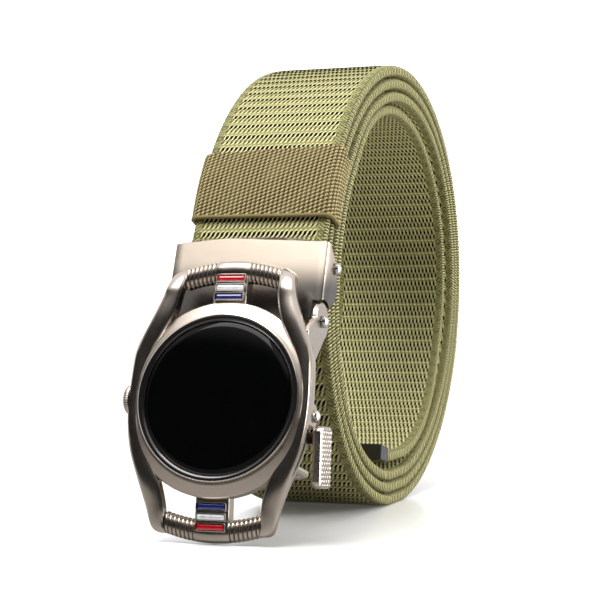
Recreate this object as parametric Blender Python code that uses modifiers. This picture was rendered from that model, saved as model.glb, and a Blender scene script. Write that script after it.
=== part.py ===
# A ratchet belt rolled up and standing on its edge, with its watch-shaped buckle hanging at the front.
# Metres, +Z up. X runs across the strap, the buckle faces -Y, and the floor is at Z = 0.

from math import copysign, cos, floor, hypot, pi, radians, sin

import bmesh
import bpy
from mathutils import Vector

MM = 0.001

# Gap left at every running fit, and how far the holes' cutters reach to each side
RUNNING_GAP = 0.3 * MM
CUT_REACH = 30.0 * MM

# The middle of the whole belt's box, so that the origin sits under it
BELT_MIDDLE = (-0.25 * MM, 1.04 * MM)

# Strap: nylon webbing, 35 mm wide
STRAP_WIDTH = 35.0 * MM
STRAP_THICKNESS = 2.9 * MM
STRAP_HALF = STRAP_WIDTH / 2
STRAP_EDGE_ROUND = 0.7 * MM

# Roll: its outer surface is a leaning ellipse, given from the side
ROLL_HALF_DEPTH = 71.6 * MM
ROLL_HALF_HEIGHT = 61.0 * MM
ROLL_CENTRE = (16.5 * MM, 61.1 * MM)
ROLL_LEAN = radians(11.5)

# Winding, in degrees: where the strap joins the roll above the clamp, and how far round it goes
ROLL_START = 153.0
ROLL_TRAVEL = 1355.0
ROLL_STEP = 9.0

# Layers: spacing from one to the next, widest at the top and back, tightest at the clamp
LAYER_PITCH = 3.5 * MM
PITCH_SWING = 0.25 * MM
PITCH_WIDEST = 20.0
STEP_IN_FROM = 0.79
STEP_IN_SHARE = 0.18
TAIL_FROM = 1220.0
TAIL_LIFT = 1.9 * MM

# Middle of the strap inside the clamp, from its cut end up to the clamp's mouth, as (Y, Z)
CLAMPED_END = ((-59.2 * MM, 54.8 * MM), (-56.2 * MM, 63.0 * MM), (-52.9 * MM, 69.8 * MM))

# Keeper: elastic loop round the two outer layers. The inner layers make room for its wall.
KEEPER_FROM = 152.4
KEEPER_TO = 134.9
KEEPER_WALL = 0.9 * MM
KEEPER_CLEAR = 0.35 * MM
KEEPER_CORNER = 1.5 * MM
KEEPER_SKEW = 0.045
KEEPER_RINGS = 6
LAYERS_HELD = 2
ROOM_FROM = 600.0
ROOM_DEPTH = 1.3 * MM
ROOM_FLAT = 13.0
ROOM_FADE = 24.0

# Metal cap on the strap's free end
TIP_LENGTH = 6.5 * MM
TIP_WALL = 0.4 * MM
TIP_CLEAR = 0.2 * MM
TIP_EDGE_ROUND = 0.25 * MM

# Clamp: a folded cover plate, seen from the side as (Y, Z)
CLAMP_HALF_WIDTH = 19.85 * MM
CLAMP_SHEET = 1.0 * MM
CLAMP_TOP = (-57.8 * MM, 69.7 * MM)
CLAMP_FOOT = (-64.7 * MM, 51.6 * MM)
CLAMP_ARCH = 1.5 * MM
FLANGE_INSET = 0.3 * MM
FLANGE_LAP = 0.02 * MM
FLANGE_REAR = ((-56.6, 69.4), (-53.2, 65.6), (-51.9, 61.9), (-51.6, 58.4), (-53.6, 55.2))

# Jaw behind the strap's end, on a pin through the flanges
JAW_PIN = (-53.0 * MM, 63.3 * MM)
JAW_PIN_RADIUS = 0.8 * MM
JAW_HUB_RADIUS = 1.15 * MM
JAW_SHEET = 1.4 * MM
JAW_HALF_WIDTH = 16.8 * MM
JAW_BLADE_HALF_WIDTH = 16.7 * MM
JAW_DROP = 7.4 * MM
RIVET_RADIUS = 1.5 * MM
RIVET_RISE = 0.9 * MM
RIVET_RIM = 0.25 * MM

# Hinge between clamp and buckle
HINGE = (-62.2 * MM, 50.6 * MM)
HINGE_PIN_RADIUS = 0.8 * MM
HINGE_HOLE_RADIUS = 1.12 * MM
KNUCKLE_RADIUS = 2.2 * MM
KNUCKLE_HALF_LENGTH = 16.9 * MM
EAR_RADIUS = 4.6 * MM
EAR_SWEEP = 5.3 * MM
EAR_INNER = 18.3 * MM
EAR_OUTER = 19.6 * MM
NOTCH_INNER = 17.3 * MM
ARM_FRONT = ((4.0, 17.0), (4.0, 8.2), (8.3, 7.3), (10.0, 10.0))

# Buckle: leans with its foot forward. Its own frame is X across, Z up its face and -Y out of its face,
# with the origin at the middle of the watch's rim.
BUCKLE_LEAN = radians(14.8)
WATCH_MIDDLE = (-80.8 * MM, 33.55 * MM)

# Rails: half outlines from top to foot. Columns: height, outer edge, inner edge, front, back
RAIL_SECTIONS = (
    (31.3, 13.8, 10.9, -4.9, -7.2),
    (30.3, 15.0, 11.5, -3.9, -7.2),
    (28.4, 15.6, 11.8, -1.9, -6.4),
    (26.5, 16.1, 12.0, -1.2, -4.8),
    (24.0, 16.7, 12.3, -1.0, -4.4),
    (19.1, 18.4, 13.5, -0.7, -5.0),
    (14.5, 20.3, 15.6, -0.8, -5.4),
    (10.5, 21.6, 17.9, -1.0, -5.7),
    (6.0, 22.0, 19.2, -1.1, -5.8),
    (0.0, 22.2, 19.6, -1.2, -5.8),
    (-6.0, 21.9, 19.2, -1.2, -5.7),
    (-12.5, 20.7, 16.3, -1.5, -5.6),
    (-19.3, 18.3, 13.3, -1.8, -5.6),
    (-25.0, 16.4, 11.9, -2.9, -6.2),
    (-28.6, 15.4, 11.9, -3.7, -7.0),
    (-30.2, 14.5, 11.6, -4.3, -7.6),
)
RAIL_SIDES = 12

# Ribbed bars across the top and the foot
BAR_HALF_LENGTH = 12.6 * MM
BAR_HALF_HEIGHT = 2.6 * MM
BAR_HALF_DEPTH = 2.3 * MM
BAR_ARCH = 2.1 * MM
RIB_FROM = 4.5 * MM
RIB_TO = 11.9 * MM
RIBS = 7
RIB_DEPTH = 0.45 * MM
TOP_BAR = (29.0 * MM, -5.05 * MM)
FOOT_BAR = (-28.0 * MM, -6.8 * MM)

# Bridges between the bars and the watch, each with three enamel stripes
BRIDGE_HALF_WIDTH = 4.1 * MM
BRIDGE_DEPTH = 3.6 * MM
TOP_BRIDGE = ((21.6 * MM, -2.2 * MM), (31.6 * MM, -3.1 * MM))
FOOT_BRIDGE = ((-21.6 * MM, -3.4 * MM), (-31.2 * MM, -4.8 * MM))
STRIPE_SIZE = (7.2 * MM, 0.5 * MM, 1.8 * MM)
STRIPE_PITCH = 2.3 * MM
STRIPE_GAP = 0.3 * MM
TOP_STRIPE_MIDDLE = 26.6 * MM
FOOT_STRIPE_MIDDLE = -27.1 * MM

# Watch head, turned about the buckle's face axis. Columns: radius, height out of the face
FLANGE_PROFILE = ((19.5, -0.9), (20.2, -1.0), (22.7, -3.2), (22.7, -5.6), (19.5, -5.6))
CASE_PROFILE = (
    (0.0, -2.6), (18.6, -2.6), (18.6, -0.3), (18.9, 0.0), (19.2, -0.3),
    (19.2, -4.2), (18.8, -4.6), (16.0, -4.6), (15.4, -6.6), (0.0, -6.6),
)
BEZEL_PROFILE = ((17.6, -0.6), (18.3, -0.3), (18.3, -2.3), (17.6, -2.3))
GLASS_PROFILE = (
    (0.0, 0.4), (6.0, 0.3), (11.0, 0.05), (15.0, -0.3),
    (17.0, -0.7), (17.3, -1.1), (17.3, -2.3), (0.0, -2.3),
)
WATCH_SIDES = 64
FLANGE_HALF_WIDTH = 20.9 * MM

# Small crown on the left of the watch
CROWN_RADIUS = 3.4 * MM
CROWN_FROM = 22.4 * MM
CROWN_TO = 24.1 * MM
CROWN_PLACE = (-0.3 * MM, -4.2 * MM)
CROWN_EDGE_ROUND = 0.5 * MM

# Release lever at the right, pressed towards the strap. Places are (height, height out of the face)
LEVER_PIN = (-2.7 * MM, -7.3 * MM)
LEVER_PIN_RADIUS = 0.75 * MM
LEVER_HOLE_RADIUS = 1.05 * MM
LUG_RADIUS = 2.9 * MM
LUG_FROM = 19.6 * MM
LUG_TO = 21.5 * MM
LEVER_HUB_RADIUS = 2.0 * MM
LEVER_ARM_FROM = 16.9 * MM
LEVER_ARM_TO = 19.2 * MM
TAB_FROM = 22.5 * MM
TAB_THICKNESS = 2.2 * MM
TAB_HEIGHT = 14.0 * MM
TAB_DEPTH = 8.2 * MM
TAB_MIDDLE = (-11.8 * MM, -9.4 * MM)
TAB_TURN = radians(9.0)
TAB_CORNER = 1.6 * MM

# The lever's bent plates, as stretches of X, Y and Z about its pin, and the pawl's tooth from the side
ARM_BOX = ((16.95, 19.15), (0.3, 1.9), (-6.6, -0.2))
SHELF_BOX = ((17.0, 23.0), (0.4, 1.8), (-6.5, -3.6))
PAWL_BOX = ((-14.5, 19.1), (0.9, 2.1), (0.4, 6.6))
TOOTH_OUTLINE = ((1.9, 6.4), (3.6, 6.4), (1.9, 4.4))
TOOTH_HALF_WIDTH = 12.0 * MM

# Plain bar behind the foot of the watch that holds the free strap in its channel
GUIDE_PLACE = (-15.0 * MM, -16.2 * MM)
GUIDE_RADIUS = 1.0 * MM
GUIDE_HALF_WIDTH = 18.0 * MM
GUIDE_FRONT = -5.95 * MM
GUIDE_CORNER = 2.0 * MM


def clear_scene():
    for obj in list(bpy.data.objects):
        bpy.data.objects.remove(obj)


def new_collection(name):
    collection = bpy.data.collections.new(name)
    bpy.context.scene.collection.children.link(collection)
    return collection


def material(name, colour, metallic, roughness):
    made = bpy.data.materials.new(name)
    made.use_nodes = True
    shader = made.node_tree.nodes["Principled BSDF"]
    shader.inputs["Base Color"].default_value = (*colour, 1.0)
    shader.inputs["Metallic"].default_value = metallic
    shader.inputs["Roughness"].default_value = roughness
    return made


clear_scene()
PIECES = new_collection("ratchet_belt")
HELPERS = new_collection("cutters_and_blanks")
WEBBING = material("olive_webbing", (0.27, 0.28, 0.13), 0.0, 0.85)
ELASTIC = material("khaki_elastic", (0.24, 0.21, 0.10), 0.0, 0.9)
SATIN = material("satin_gunmetal", (0.42, 0.38, 0.34), 1.0, 0.35)
CHROME = material("chrome", (0.75, 0.74, 0.73), 1.0, 0.12)
DARK_METAL = material("dark_tip", (0.10, 0.10, 0.11), 1.0, 0.3)
BLACK = material("black_ring", (0.01, 0.01, 0.01), 0.0, 0.25)
GLASS = material("black_glass", (0.004, 0.004, 0.005), 0.0, 0.05)
RED = material("red_enamel", (0.55, 0.01, 0.02), 0.0, 0.15)
WHITE = material("white_enamel", (0.80, 0.82, 0.84), 0.0, 0.15)
BLUE = material("blue_enamel", (0.01, 0.03, 0.22), 0.0, 0.15)


def frame_empty(name, location, turn, parent):
    empty = bpy.data.objects.new(name, None)
    PIECES.objects.link(empty)
    empty.parent = parent
    empty.location = location
    empty.rotation_euler = (turn, 0.0, 0.0)
    return empty


def add_object(name, mesh, parent, finish=None, smooth=False):
    """A piece of the belt when it has a finish, otherwise a blank for a Boolean."""
    obj = bpy.data.objects.new(name, mesh)
    obj.parent = parent
    if finish:
        PIECES.objects.link(obj)
        mesh.materials.append(finish)
        if smooth:
            mesh.shade_smooth()
            mesh.set_sharp_from_angle(angle=radians(35))
    else:
        HELPERS.objects.link(obj)
        obj.hide_render = True
        obj.display_type = "WIRE"
    return obj


def mesh_from(name, bm):
    bmesh.ops.recalc_face_normals(bm, faces=bm.faces)
    mesh = bpy.data.meshes.new(name)
    bm.to_mesh(mesh)
    bm.free()
    return mesh


def loft(name, sections):
    """A closed body through rings that all have the same number of points."""
    bm = bmesh.new()
    rings = [[bm.verts.new(point) for point in section] for section in sections]
    for ring, following in zip(rings, rings[1:]):
        for i, corner in enumerate(ring):
            j = (i + 1) % len(ring)
            bm.faces.new((corner, ring[j], following[j], following[i]))
    bm.faces.new(rings[0])
    bm.faces.new(rings[-1])
    return mesh_from(name, bm)


def plate(name, outline, x_from, x_to):
    """A flat outline in (Y, Z), as thick as the stretch of X."""
    sections = [[(x, y, z) for y, z in outline] for x in (x_from, x_to)]
    return loft(name, sections)


def rod(name, x_from, x_to, radius, place=(0.0, 0.0), sides=24):
    """A round bar along X at a place in (Y, Z)."""
    turns = [2 * pi * i / sides for i in range(sides)]
    outline = [(place[0] + radius * cos(a), place[1] + radius * sin(a)) for a in turns]
    return plate(name, outline, x_from, x_to)


def pin_stations(neck, radius):
    """(X, radius) at the right end of a pin: its neck, then the rivet's rim and dome."""
    rim = neck + RIVET_RIM
    return [
        (neck, radius),
        (neck, RIVET_RADIUS),
        (rim, RIVET_RADIUS),
        (rim + 0.6 * RIVET_RISE, 0.8 * RIVET_RADIUS),
        (rim + RIVET_RISE, 0.35 * RIVET_RADIUS),
    ]


def pin_mesh(name, stations, place=(0.0, 0.0), sides=24):
    """A turned pin along X through stations of (X, radius)."""
    turns = [2 * pi * i / sides for i in range(sides)]
    rings = [[(x, place[0] + r * cos(a), place[1] + r * sin(a)) for a in turns] for x, r in stations]
    return loft(name, rings)


def riveted_pin(name, neck, radius):
    """A pin with a domed head at each end."""
    right = pin_stations(neck, radius)
    return pin_mesh(name, [(-x, r) for x, r in reversed(right)] + right)


def box(name, low, high):
    bm = bmesh.new()
    bmesh.ops.create_cube(bm, size=1.0)
    for vert in bm.verts:
        for axis in range(3):
            vert.co[axis] = low[axis] if vert.co[axis] < 0 else high[axis]
    return mesh_from(name, bm)


def box_between(name, stretches):
    """A box from a table row of (from, to) in millimetres for X, Y and Z."""
    low = [start * MM for start, end in stretches]
    high = [end * MM for start, end in stretches]
    return box(name, low, high)


def turned(name, profile, parent, finish=None, sides=WATCH_SIDES):
    """A profile turned about the axis out of the buckle's face."""
    mesh = bpy.data.meshes.new(name)
    points = [(radius * MM, 0.0, out * MM) for radius, out in profile]
    edges = [(i, i + 1) for i in range(len(points) - 1)]
    if profile[0][0] > 0:
        edges.append((len(points) - 1, 0))
    mesh.from_pydata(points, edges, [])
    obj = add_object(name, mesh, parent, finish)
    obj.rotation_euler = (pi / 2, 0.0, 0.0)
    screw = obj.modifiers.new("Turn", "SCREW")
    screw.steps = sides
    screw.render_steps = sides
    screw.use_merge_vertices = True
    screw.merge_threshold = 0.00001
    screw.use_smooth_shade = True
    return obj


def join(obj, blanks, solver="EXACT"):
    for blank in blanks:
        modifier = obj.modifiers.new("Join " + blank.name, "BOOLEAN")
        modifier.operation = "UNION"
        modifier.solver = solver
        modifier.object = blank


def cut(obj, cutters, solver="EXACT"):
    for cutter in cutters:
        modifier = obj.modifiers.new("Cut " + cutter.name, "BOOLEAN")
        modifier.operation = "DIFFERENCE"
        modifier.solver = solver
        modifier.object = cutter


def soften(obj, width, segments=2):
    bevel = obj.modifiers.new("Bevel", "BEVEL")
    bevel.width = width
    bevel.segments = segments
    bevel.limit_method = "ANGLE"
    bevel.angle_limit = radians(40)


def smooth_step(value):
    value = min(max(value, 0.0), 1.0)
    return value * value * (3 - 2 * value)


def roll_point(degrees, depth):
    """(Y, Z) on the roll's outer ellipse, moved inwards by depth along its normal."""
    turn = radians(degrees)
    along = ROLL_HALF_DEPTH * cos(turn)
    up = ROLL_HALF_HEIGHT * sin(turn)
    normal_along = cos(turn) / ROLL_HALF_DEPTH
    normal_up = sin(turn) / ROLL_HALF_HEIGHT
    size = hypot(normal_along, normal_up)
    along -= depth * normal_along / size
    up -= depth * normal_up / size
    y = ROLL_CENTRE[0] + along * cos(ROLL_LEAN) - up * sin(ROLL_LEAN)
    z = ROLL_CENTRE[1] + along * sin(ROLL_LEAN) + up * cos(ROLL_LEAN)
    return y, max(z, depth)


def pitch_at(degrees):
    return LAYER_PITCH + PITCH_SWING * cos(radians(degrees - PITCH_WIDEST))


def layer_at(travel):
    """How many layers deep the strap lies after this many degrees of winding."""
    turns = floor(travel / 360)
    share = travel / 360 - turns
    return turns + smooth_step((share - STEP_IN_FROM) / STEP_IN_SHARE)


def keeper_room(travel):
    """How far the inner layers stand in at the keeper."""
    middle = ROLL_START - (KEEPER_FROM + KEEPER_TO) / 2
    away = abs((travel - middle + 180) % 360 - 180)
    if travel < ROOM_FROM:
        return 0.0
    return ROOM_DEPTH * smooth_step((ROOM_FLAT + ROOM_FADE - away) / ROOM_FADE)


def strap_middle(travel):
    """(Y, Z) of the strap's middle after this many degrees of winding from the keeper."""
    degrees = ROLL_START - travel
    lift = TAIL_LIFT * smooth_step((travel - TAIL_FROM) / (ROLL_TRAVEL - TAIL_FROM)) + keeper_room(travel)
    return roll_point(degrees, STRAP_THICKNESS / 2 + layer_at(travel) * pitch_at(degrees) + lift)


def spline(points, steps):
    """Catmull-Rom points from the second control point to the last but one."""
    found = []
    for before, start, end, after in zip(points, points[1:], points[2:], points[3:]):
        for i in range(steps):
            t = i / steps
            weights = (
                -0.5 * t + t * t - 0.5 * t ** 3,
                1 - 2.5 * t * t + 1.5 * t ** 3,
                0.5 * t + 2 * t * t - 1.5 * t ** 3,
                -0.5 * t * t + 0.5 * t ** 3,
            )
            corners = (before, start, end, after)
            found.append(tuple(sum(w * c[axis] for w, c in zip(weights, corners)) for axis in (0, 1)))
    return found


def strap_path():
    """(Y, Z) along the strap's middle, from the clamped end to the free end."""
    steps = int(ROLL_TRAVEL / ROLL_STEP)
    wound = [strap_middle(ROLL_TRAVEL * i / steps) for i in range(steps + 1)]
    first, second = CLAMPED_END[:2]
    before = (2 * first[0] - second[0], 2 * first[1] - second[1])
    return spline([before, *CLAMPED_END, wound[0], wound[1]], 3) + wound


def ribbon(name, path, half_width):
    """An open strip along a path in (Y, Z)."""
    bm = bmesh.new()
    rows = [[bm.verts.new((x, y, z)) for x in (-half_width, half_width)] for y, z in path]
    for row, following in zip(rows, rows[1:]):
        bm.faces.new((row[0], row[1], following[1], following[0]))
    return mesh_from(name, bm)


def make_strap(parent):
    strap = add_object("strap", ribbon("strap", strap_path(), STRAP_HALF), parent, WEBBING)
    wall = strap.modifiers.new("Webbing", "SOLIDIFY")
    wall.thickness = STRAP_THICKNESS
    wall.offset = 0.0
    soften(strap, STRAP_EDGE_ROUND, 1)


def side_frame(start, end):
    """Unit vectors along and across a step of the path in (Y, Z)."""
    along = Vector((end[0] - start[0], end[1] - start[1])).normalized()
    return along, Vector((-along.y, along.x))


def make_keeper(parent):
    """A loop round the held layers, open at both lips. Its upper lip runs a little askew."""
    depth = pitch_at((KEEPER_FROM + KEEPER_TO) / 2) * (LAYERS_HELD - 1) + STRAP_THICKNESS
    half = STRAP_HALF + KEEPER_CLEAR
    half_depth = depth / 2 + KEEPER_CLEAR

    def corners(grow):
        found = []
        for quarter, (x_side, depth_side) in enumerate(((1, 1), (-1, 1), (-1, -1), (1, -1))):
            for i in range(4):
                turn = pi / 2 * quarter + pi / 6 * i
                x = x_side * (half - KEEPER_CORNER) + (KEEPER_CORNER + grow) * cos(turn)
                out = depth_side * (half_depth - KEEPER_CORNER) + (KEEPER_CORNER + grow) * sin(turn)
                found.append((x, out))
        return found

    def ring_at(share, grow):
        found = []
        for x, out in corners(grow):
            skewed = share * (1 + KEEPER_SKEW * x / half)
            degrees = KEEPER_FROM + (KEEPER_TO - KEEPER_FROM) * skewed
            found.append((x, *roll_point(degrees, depth / 2 - out)))
        return found

    bm = bmesh.new()
    shares = [i / (KEEPER_RINGS - 1) for i in range(KEEPER_RINGS)]
    sections = [ring_at(share, 0.0) for share in shares]
    sections += [ring_at(share, KEEPER_WALL) for share in reversed(shares)]
    rings = [[bm.verts.new(point) for point in section] for section in sections]
    for ring, following in zip(rings, rings[1:] + rings[:1]):
        for j in range(len(ring)):
            k = (j + 1) % len(ring)
            bm.faces.new((ring[j], ring[k], following[k], following[j]))
    add_object("keeper", mesh_from("keeper", bm), parent, ELASTIC, smooth=True)


def make_strap_tip(parent):
    """A folded cap over the strap's last stretch, open where the strap goes in."""
    path = strap_path()
    along, across = side_frame(path[-2], path[-1])
    end = Vector(path[-1])

    def sleeve(name, back, front, half_height, half_width):
        corners = []
        for distance in (back, front):
            middle = end + along * distance
            low = middle - across * half_height
            high = middle + across * half_height
            left = -half_width
            right = half_width
            corners.append([(left, *low), (right, *low), (right, *high), (left, *high)])
        return loft(name, corners)

    inner = STRAP_THICKNESS / 2 + TIP_CLEAR
    inner_half = STRAP_HALF + TIP_CLEAR
    outer = inner + TIP_WALL
    outer_half = inner_half + TIP_WALL
    sheath = sleeve("strap_tip", -TIP_LENGTH, TIP_CLEAR + TIP_WALL, outer, outer_half)
    tip = add_object("strap_tip", sheath, parent, DARK_METAL)
    soften(tip, TIP_EDGE_ROUND, 1)
    pocket = sleeve("tip_pocket", -2 * TIP_LENGTH, TIP_CLEAR, inner, inner_half)
    cut(tip, [add_object("tip_pocket", pocket, parent)])


def plate_outline():
    """The cover plate's outline in (X, distance down its face), with an arched top edge."""
    drop = Vector((CLAMP_FOOT[0] - CLAMP_TOP[0], CLAMP_FOOT[1] - CLAMP_TOP[1])).length
    top = []
    steps = 8
    for i in range(steps + 1):
        across = -1 + 2 * i / steps
        top.append((CLAMP_HALF_WIDTH * across, -CLAMP_ARCH * (1 - across * across)))
    return top + [(CLAMP_HALF_WIDTH, drop), (-CLAMP_HALF_WIDTH, drop)]


def make_clamp_cover(parent):
    down, inwards = side_frame(CLAMP_TOP, CLAMP_FOOT)
    corner = Vector(CLAMP_TOP)

    def face_at(depth):
        found = []
        for x, distance in plate_outline():
            y, z = corner + down * distance + inwards * depth
            found.append((x, y, z))
        return found

    sheet = loft("clamp_cover", [face_at(0.0), face_at(CLAMP_SHEET)])
    cover = add_object("clamp_cover", sheet, parent, SATIN)
    top = corner + (down + inwards) * FLANGE_INSET
    foot = Vector(CLAMP_FOOT) + inwards * FLANGE_INSET
    outline = [tuple(top), *((y * MM, z * MM) for y, z in FLANGE_REAR), tuple(foot)]
    flange_inner = CLAMP_HALF_WIDTH - CLAMP_SHEET
    flange_outer = CLAMP_HALF_WIDTH - FLANGE_LAP
    blanks = []
    cutters = []
    for side in (-1, 1):
        edges = sorted((side * flange_inner, side * flange_outer))
        blanks.append(add_object(f"flange_{side}", plate(f"flange_{side}", outline, *edges), parent))
        notch = sorted((side * NOTCH_INNER, side * CUT_REACH))
        cutters.append(add_object(f"notch_{side}", rod(f"notch_{side}", *notch, EAR_SWEEP, HINGE), parent))
    knuckle = rod("knuckle", -KNUCKLE_HALF_LENGTH, KNUCKLE_HALF_LENGTH, KNUCKLE_RADIUS, HINGE)
    blanks.append(add_object("knuckle", knuckle, parent))
    hinge_hole = rod("hinge_hole", -CUT_REACH, CUT_REACH, HINGE_HOLE_RADIUS, HINGE)
    cutters.append(add_object("hinge_hole", hinge_hole, parent))
    jaw_hole = rod("jaw_hole", -CUT_REACH, CUT_REACH, JAW_PIN_RADIUS + RUNNING_GAP, JAW_PIN)
    cutters.append(add_object("jaw_hole", jaw_hole, parent))
    join(cover, blanks)
    cut(cover, cutters)


def make_clamp_jaw(parent):
    """The jaw and its pin are one piece: a toothless plate under a round hub, with domed heads outside."""
    pin = riveted_pin("clamp_jaw", CLAMP_HALF_WIDTH + RUNNING_GAP, JAW_PIN_RADIUS)
    jaw = add_object("clamp_jaw", pin, parent, CHROME, smooth=True)
    jaw.location = (0.0, *JAW_PIN)
    hub = rod("jaw_hub", -JAW_HALF_WIDTH, JAW_HALF_WIDTH, JAW_HUB_RADIUS)
    lean, inwards = side_frame(CLAMPED_END[1], CLAMPED_END[0])
    front = -inwards * JAW_SHEET / 2
    back = inwards * JAW_SHEET / 2
    outline = [tuple(p) for p in (front, front + lean * JAW_DROP, back + lean * JAW_DROP, back)]
    blade = plate("jaw_blade", outline, -JAW_BLADE_HALF_WIDTH, JAW_BLADE_HALF_WIDTH)
    join(jaw, [add_object("jaw_hub", hub, jaw), add_object("jaw_blade", blade, jaw)])


def make_hinge_pin(parent):
    mesh = riveted_pin("hinge_pin", EAR_OUTER + RUNNING_GAP, HINGE_PIN_RADIUS)
    pin = add_object("hinge_pin", mesh, parent, CHROME, smooth=True)
    pin.location = (0.0, *HINGE)


def rounded_section(first, second, sides, squareness=0.65):
    """Unit offsets round a softened rectangle between two half sizes."""
    found = []
    for i in range(sides):
        turn = 2 * pi * (i + 0.5) / sides
        a = copysign(abs(cos(turn)) ** squareness, cos(turn))
        b = copysign(abs(sin(turn)) ** squareness, sin(turn))
        found.append((first * a, second * b))
    return found


def rail_mesh(name, side):
    sections = []
    for height, outer, inner, front, back in RAIL_SECTIONS:
        middle = (outer + inner) / 2
        out = (front + back) / 2
        ring = rounded_section((outer - inner) / 2, (front - back) / 2, RAIL_SIDES)
        sections.append([(side * (middle + a) * MM, -(out + b) * MM, height * MM) for a, b in ring])
    return loft(name, sections)


def bar_stations():
    """(X, share of the full section) along a bar: smooth in the middle, ribbed towards both ends."""
    ribbed = []
    rib = (RIB_TO - RIB_FROM) / RIBS
    for i in range(RIBS):
        ribbed.append((RIB_FROM + rib * i, 0.0))
        ribbed.append((RIB_FROM + rib * (i + 0.5), 1.0))
    ribbed.append((RIB_TO, 0.0))
    ribbed.append((BAR_HALF_LENGTH, 0.0))
    return [(-x, share) for x, share in reversed(ribbed)] + ribbed


def bar_mesh(name, middle, side):
    sections = []
    for x, share in bar_stations():
        arch = side * BAR_ARCH * (1 - (x / BAR_HALF_LENGTH) ** 2)
        grow = RIB_DEPTH * (share - 1)
        ring = rounded_section(BAR_HALF_HEIGHT + grow, BAR_HALF_DEPTH + grow, 12, 0.8)
        sections.append([(x, -(middle[1] + b), middle[0] + arch + a) for a, b in ring])
    return loft(name, sections)


def bridge_mesh(name, ends):
    (near, near_out), (far, far_out) = ends
    near_back = BRIDGE_DEPTH - near_out
    far_back = BRIDGE_DEPTH - far_out
    outline = [(-near_out, near), (-far_out, far), (far_back, far), (near_back, near)]
    return plate(name, outline, -BRIDGE_HALF_WIDTH, BRIDGE_HALF_WIDTH)


def hinge_in_buckle():
    """(height, height out of the face) of the hinge in the buckle's own frame."""
    y = HINGE[0] - WATCH_MIDDLE[0]
    z = HINGE[1] - WATCH_MIDDLE[1]
    height = y * sin(BUCKLE_LEAN) + z * cos(BUCKLE_LEAN)
    out = -y * cos(BUCKLE_LEAN) + z * sin(BUCKLE_LEAN)
    return height, out


def arm_outline():
    """Side wall from the rail back to the round ear, as (Y, Z) in the buckle's frame."""
    height, out = hinge_in_buckle()
    ear = []
    for degrees in range(-60, 181, 20):
        turn = radians(degrees)
        ear.append((-out + EAR_RADIUS * cos(turn), height + EAR_RADIUS * sin(turn)))
    return ear + [(y * MM, z * MM) for y, z in ARM_FRONT]


def make_buckle_frame(parent):
    """Cast frame of rails, ribbed bars, bridges, flange, hinge ears and the lever's lug, all one piece."""
    frame = turned("buckle_frame", FLANGE_PROFILE, parent, SATIN)
    flange_sides = []
    for side in (-1, 1):
        left, right = sorted((side * FLANGE_HALF_WIDTH, side * CUT_REACH))
        side_box = box(f"flange_side_{side}", (left, 0.0, -CUT_REACH), (right, CUT_REACH, CUT_REACH))
        flange_sides.append(add_object(f"flange_side_{side}", side_box, parent))
    height, out = hinge_in_buckle()
    hinge_place = (-out, height)
    lever_place = (-LEVER_PIN[1], LEVER_PIN[0])
    blanks = [
        add_object("right_rail", rail_mesh("right_rail", 1), parent),
        add_object("left_rail", rail_mesh("left_rail", -1), parent),
        add_object("top_bar", bar_mesh("top_bar", TOP_BAR, 1), parent),
        add_object("foot_bar", bar_mesh("foot_bar", FOOT_BAR, -1), parent),
        add_object("top_bridge", bridge_mesh("top_bridge", TOP_BRIDGE), parent),
        add_object("foot_bridge", bridge_mesh("foot_bridge", FOOT_BRIDGE), parent),
        add_object("right_arm", plate("right_arm", arm_outline(), EAR_INNER, EAR_OUTER), parent),
        add_object("left_arm", plate("left_arm", arm_outline(), -EAR_OUTER, -EAR_INNER), parent),
        add_object("lever_lug", rod("lever_lug", LUG_FROM, LUG_TO, LUG_RADIUS, lever_place), parent),
    ]
    # The exact solver leaves open edges where the arms run into the rails and the flange
    cut(frame, flange_sides, "MANIFOLD")
    join(frame, blanks, "MANIFOLD")
    ear_hole = rod("ear_hole", -CUT_REACH, CUT_REACH, HINGE_HOLE_RADIUS, hinge_place)
    lug_ends = (LUG_FROM - RUNNING_GAP, LUG_TO + RUNNING_GAP)
    lug_hole = rod("lug_hole", *lug_ends, LEVER_HOLE_RADIUS, lever_place)
    cutters = [add_object("ear_hole", ear_hole, parent), add_object("lug_hole", lug_hole, parent)]
    cut(frame, cutters, "MANIFOLD")


def make_stripes(parent, place, bridge, middle, finishes):
    """Three enamel bars lying along a bridge, in order from the top."""
    (near, near_out), (far, far_out) = bridge
    slope = (far_out - near_out) / (far - near)
    for i, finish in enumerate(finishes):
        height = middle + (1 - i) * STRIPE_PITCH
        face = near_out + slope * (height - near) + STRIPE_GAP
        half = [size / 2 for size in STRIPE_SIZE]
        mesh = box(f"{place}_stripe_{i + 1}", [-h for h in half], half)
        stripe = add_object(f"{place}_stripe_{i + 1}", mesh, parent, finish)
        stripe.location = (0.0, -face - half[1], height)
        stripe.rotation_euler = (slope, 0.0, 0.0)


def make_watch(parent):
    turned("watch_case", CASE_PROFILE, parent, SATIN)
    turned("watch_bezel", BEZEL_PROFILE, parent, BLACK)
    turned("watch_glass", GLASS_PROFILE, parent, GLASS)
    place = (-CROWN_PLACE[1], CROWN_PLACE[0])
    crown = add_object("crown", rod("crown", -CROWN_TO, -CROWN_FROM, CROWN_RADIUS, place), parent, SATIN)
    soften(crown, CROWN_EDGE_ROUND)


def make_lever_pin(parent):
    place = (-LEVER_PIN[1], LEVER_PIN[0])
    stations = [(LEVER_ARM_FROM, LEVER_PIN_RADIUS)] + pin_stations(LUG_TO + RUNNING_GAP, LEVER_PIN_RADIUS)
    add_object("lever_pin", pin_mesh("lever_pin", stations, place), parent, CHROME, smooth=True)


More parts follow.
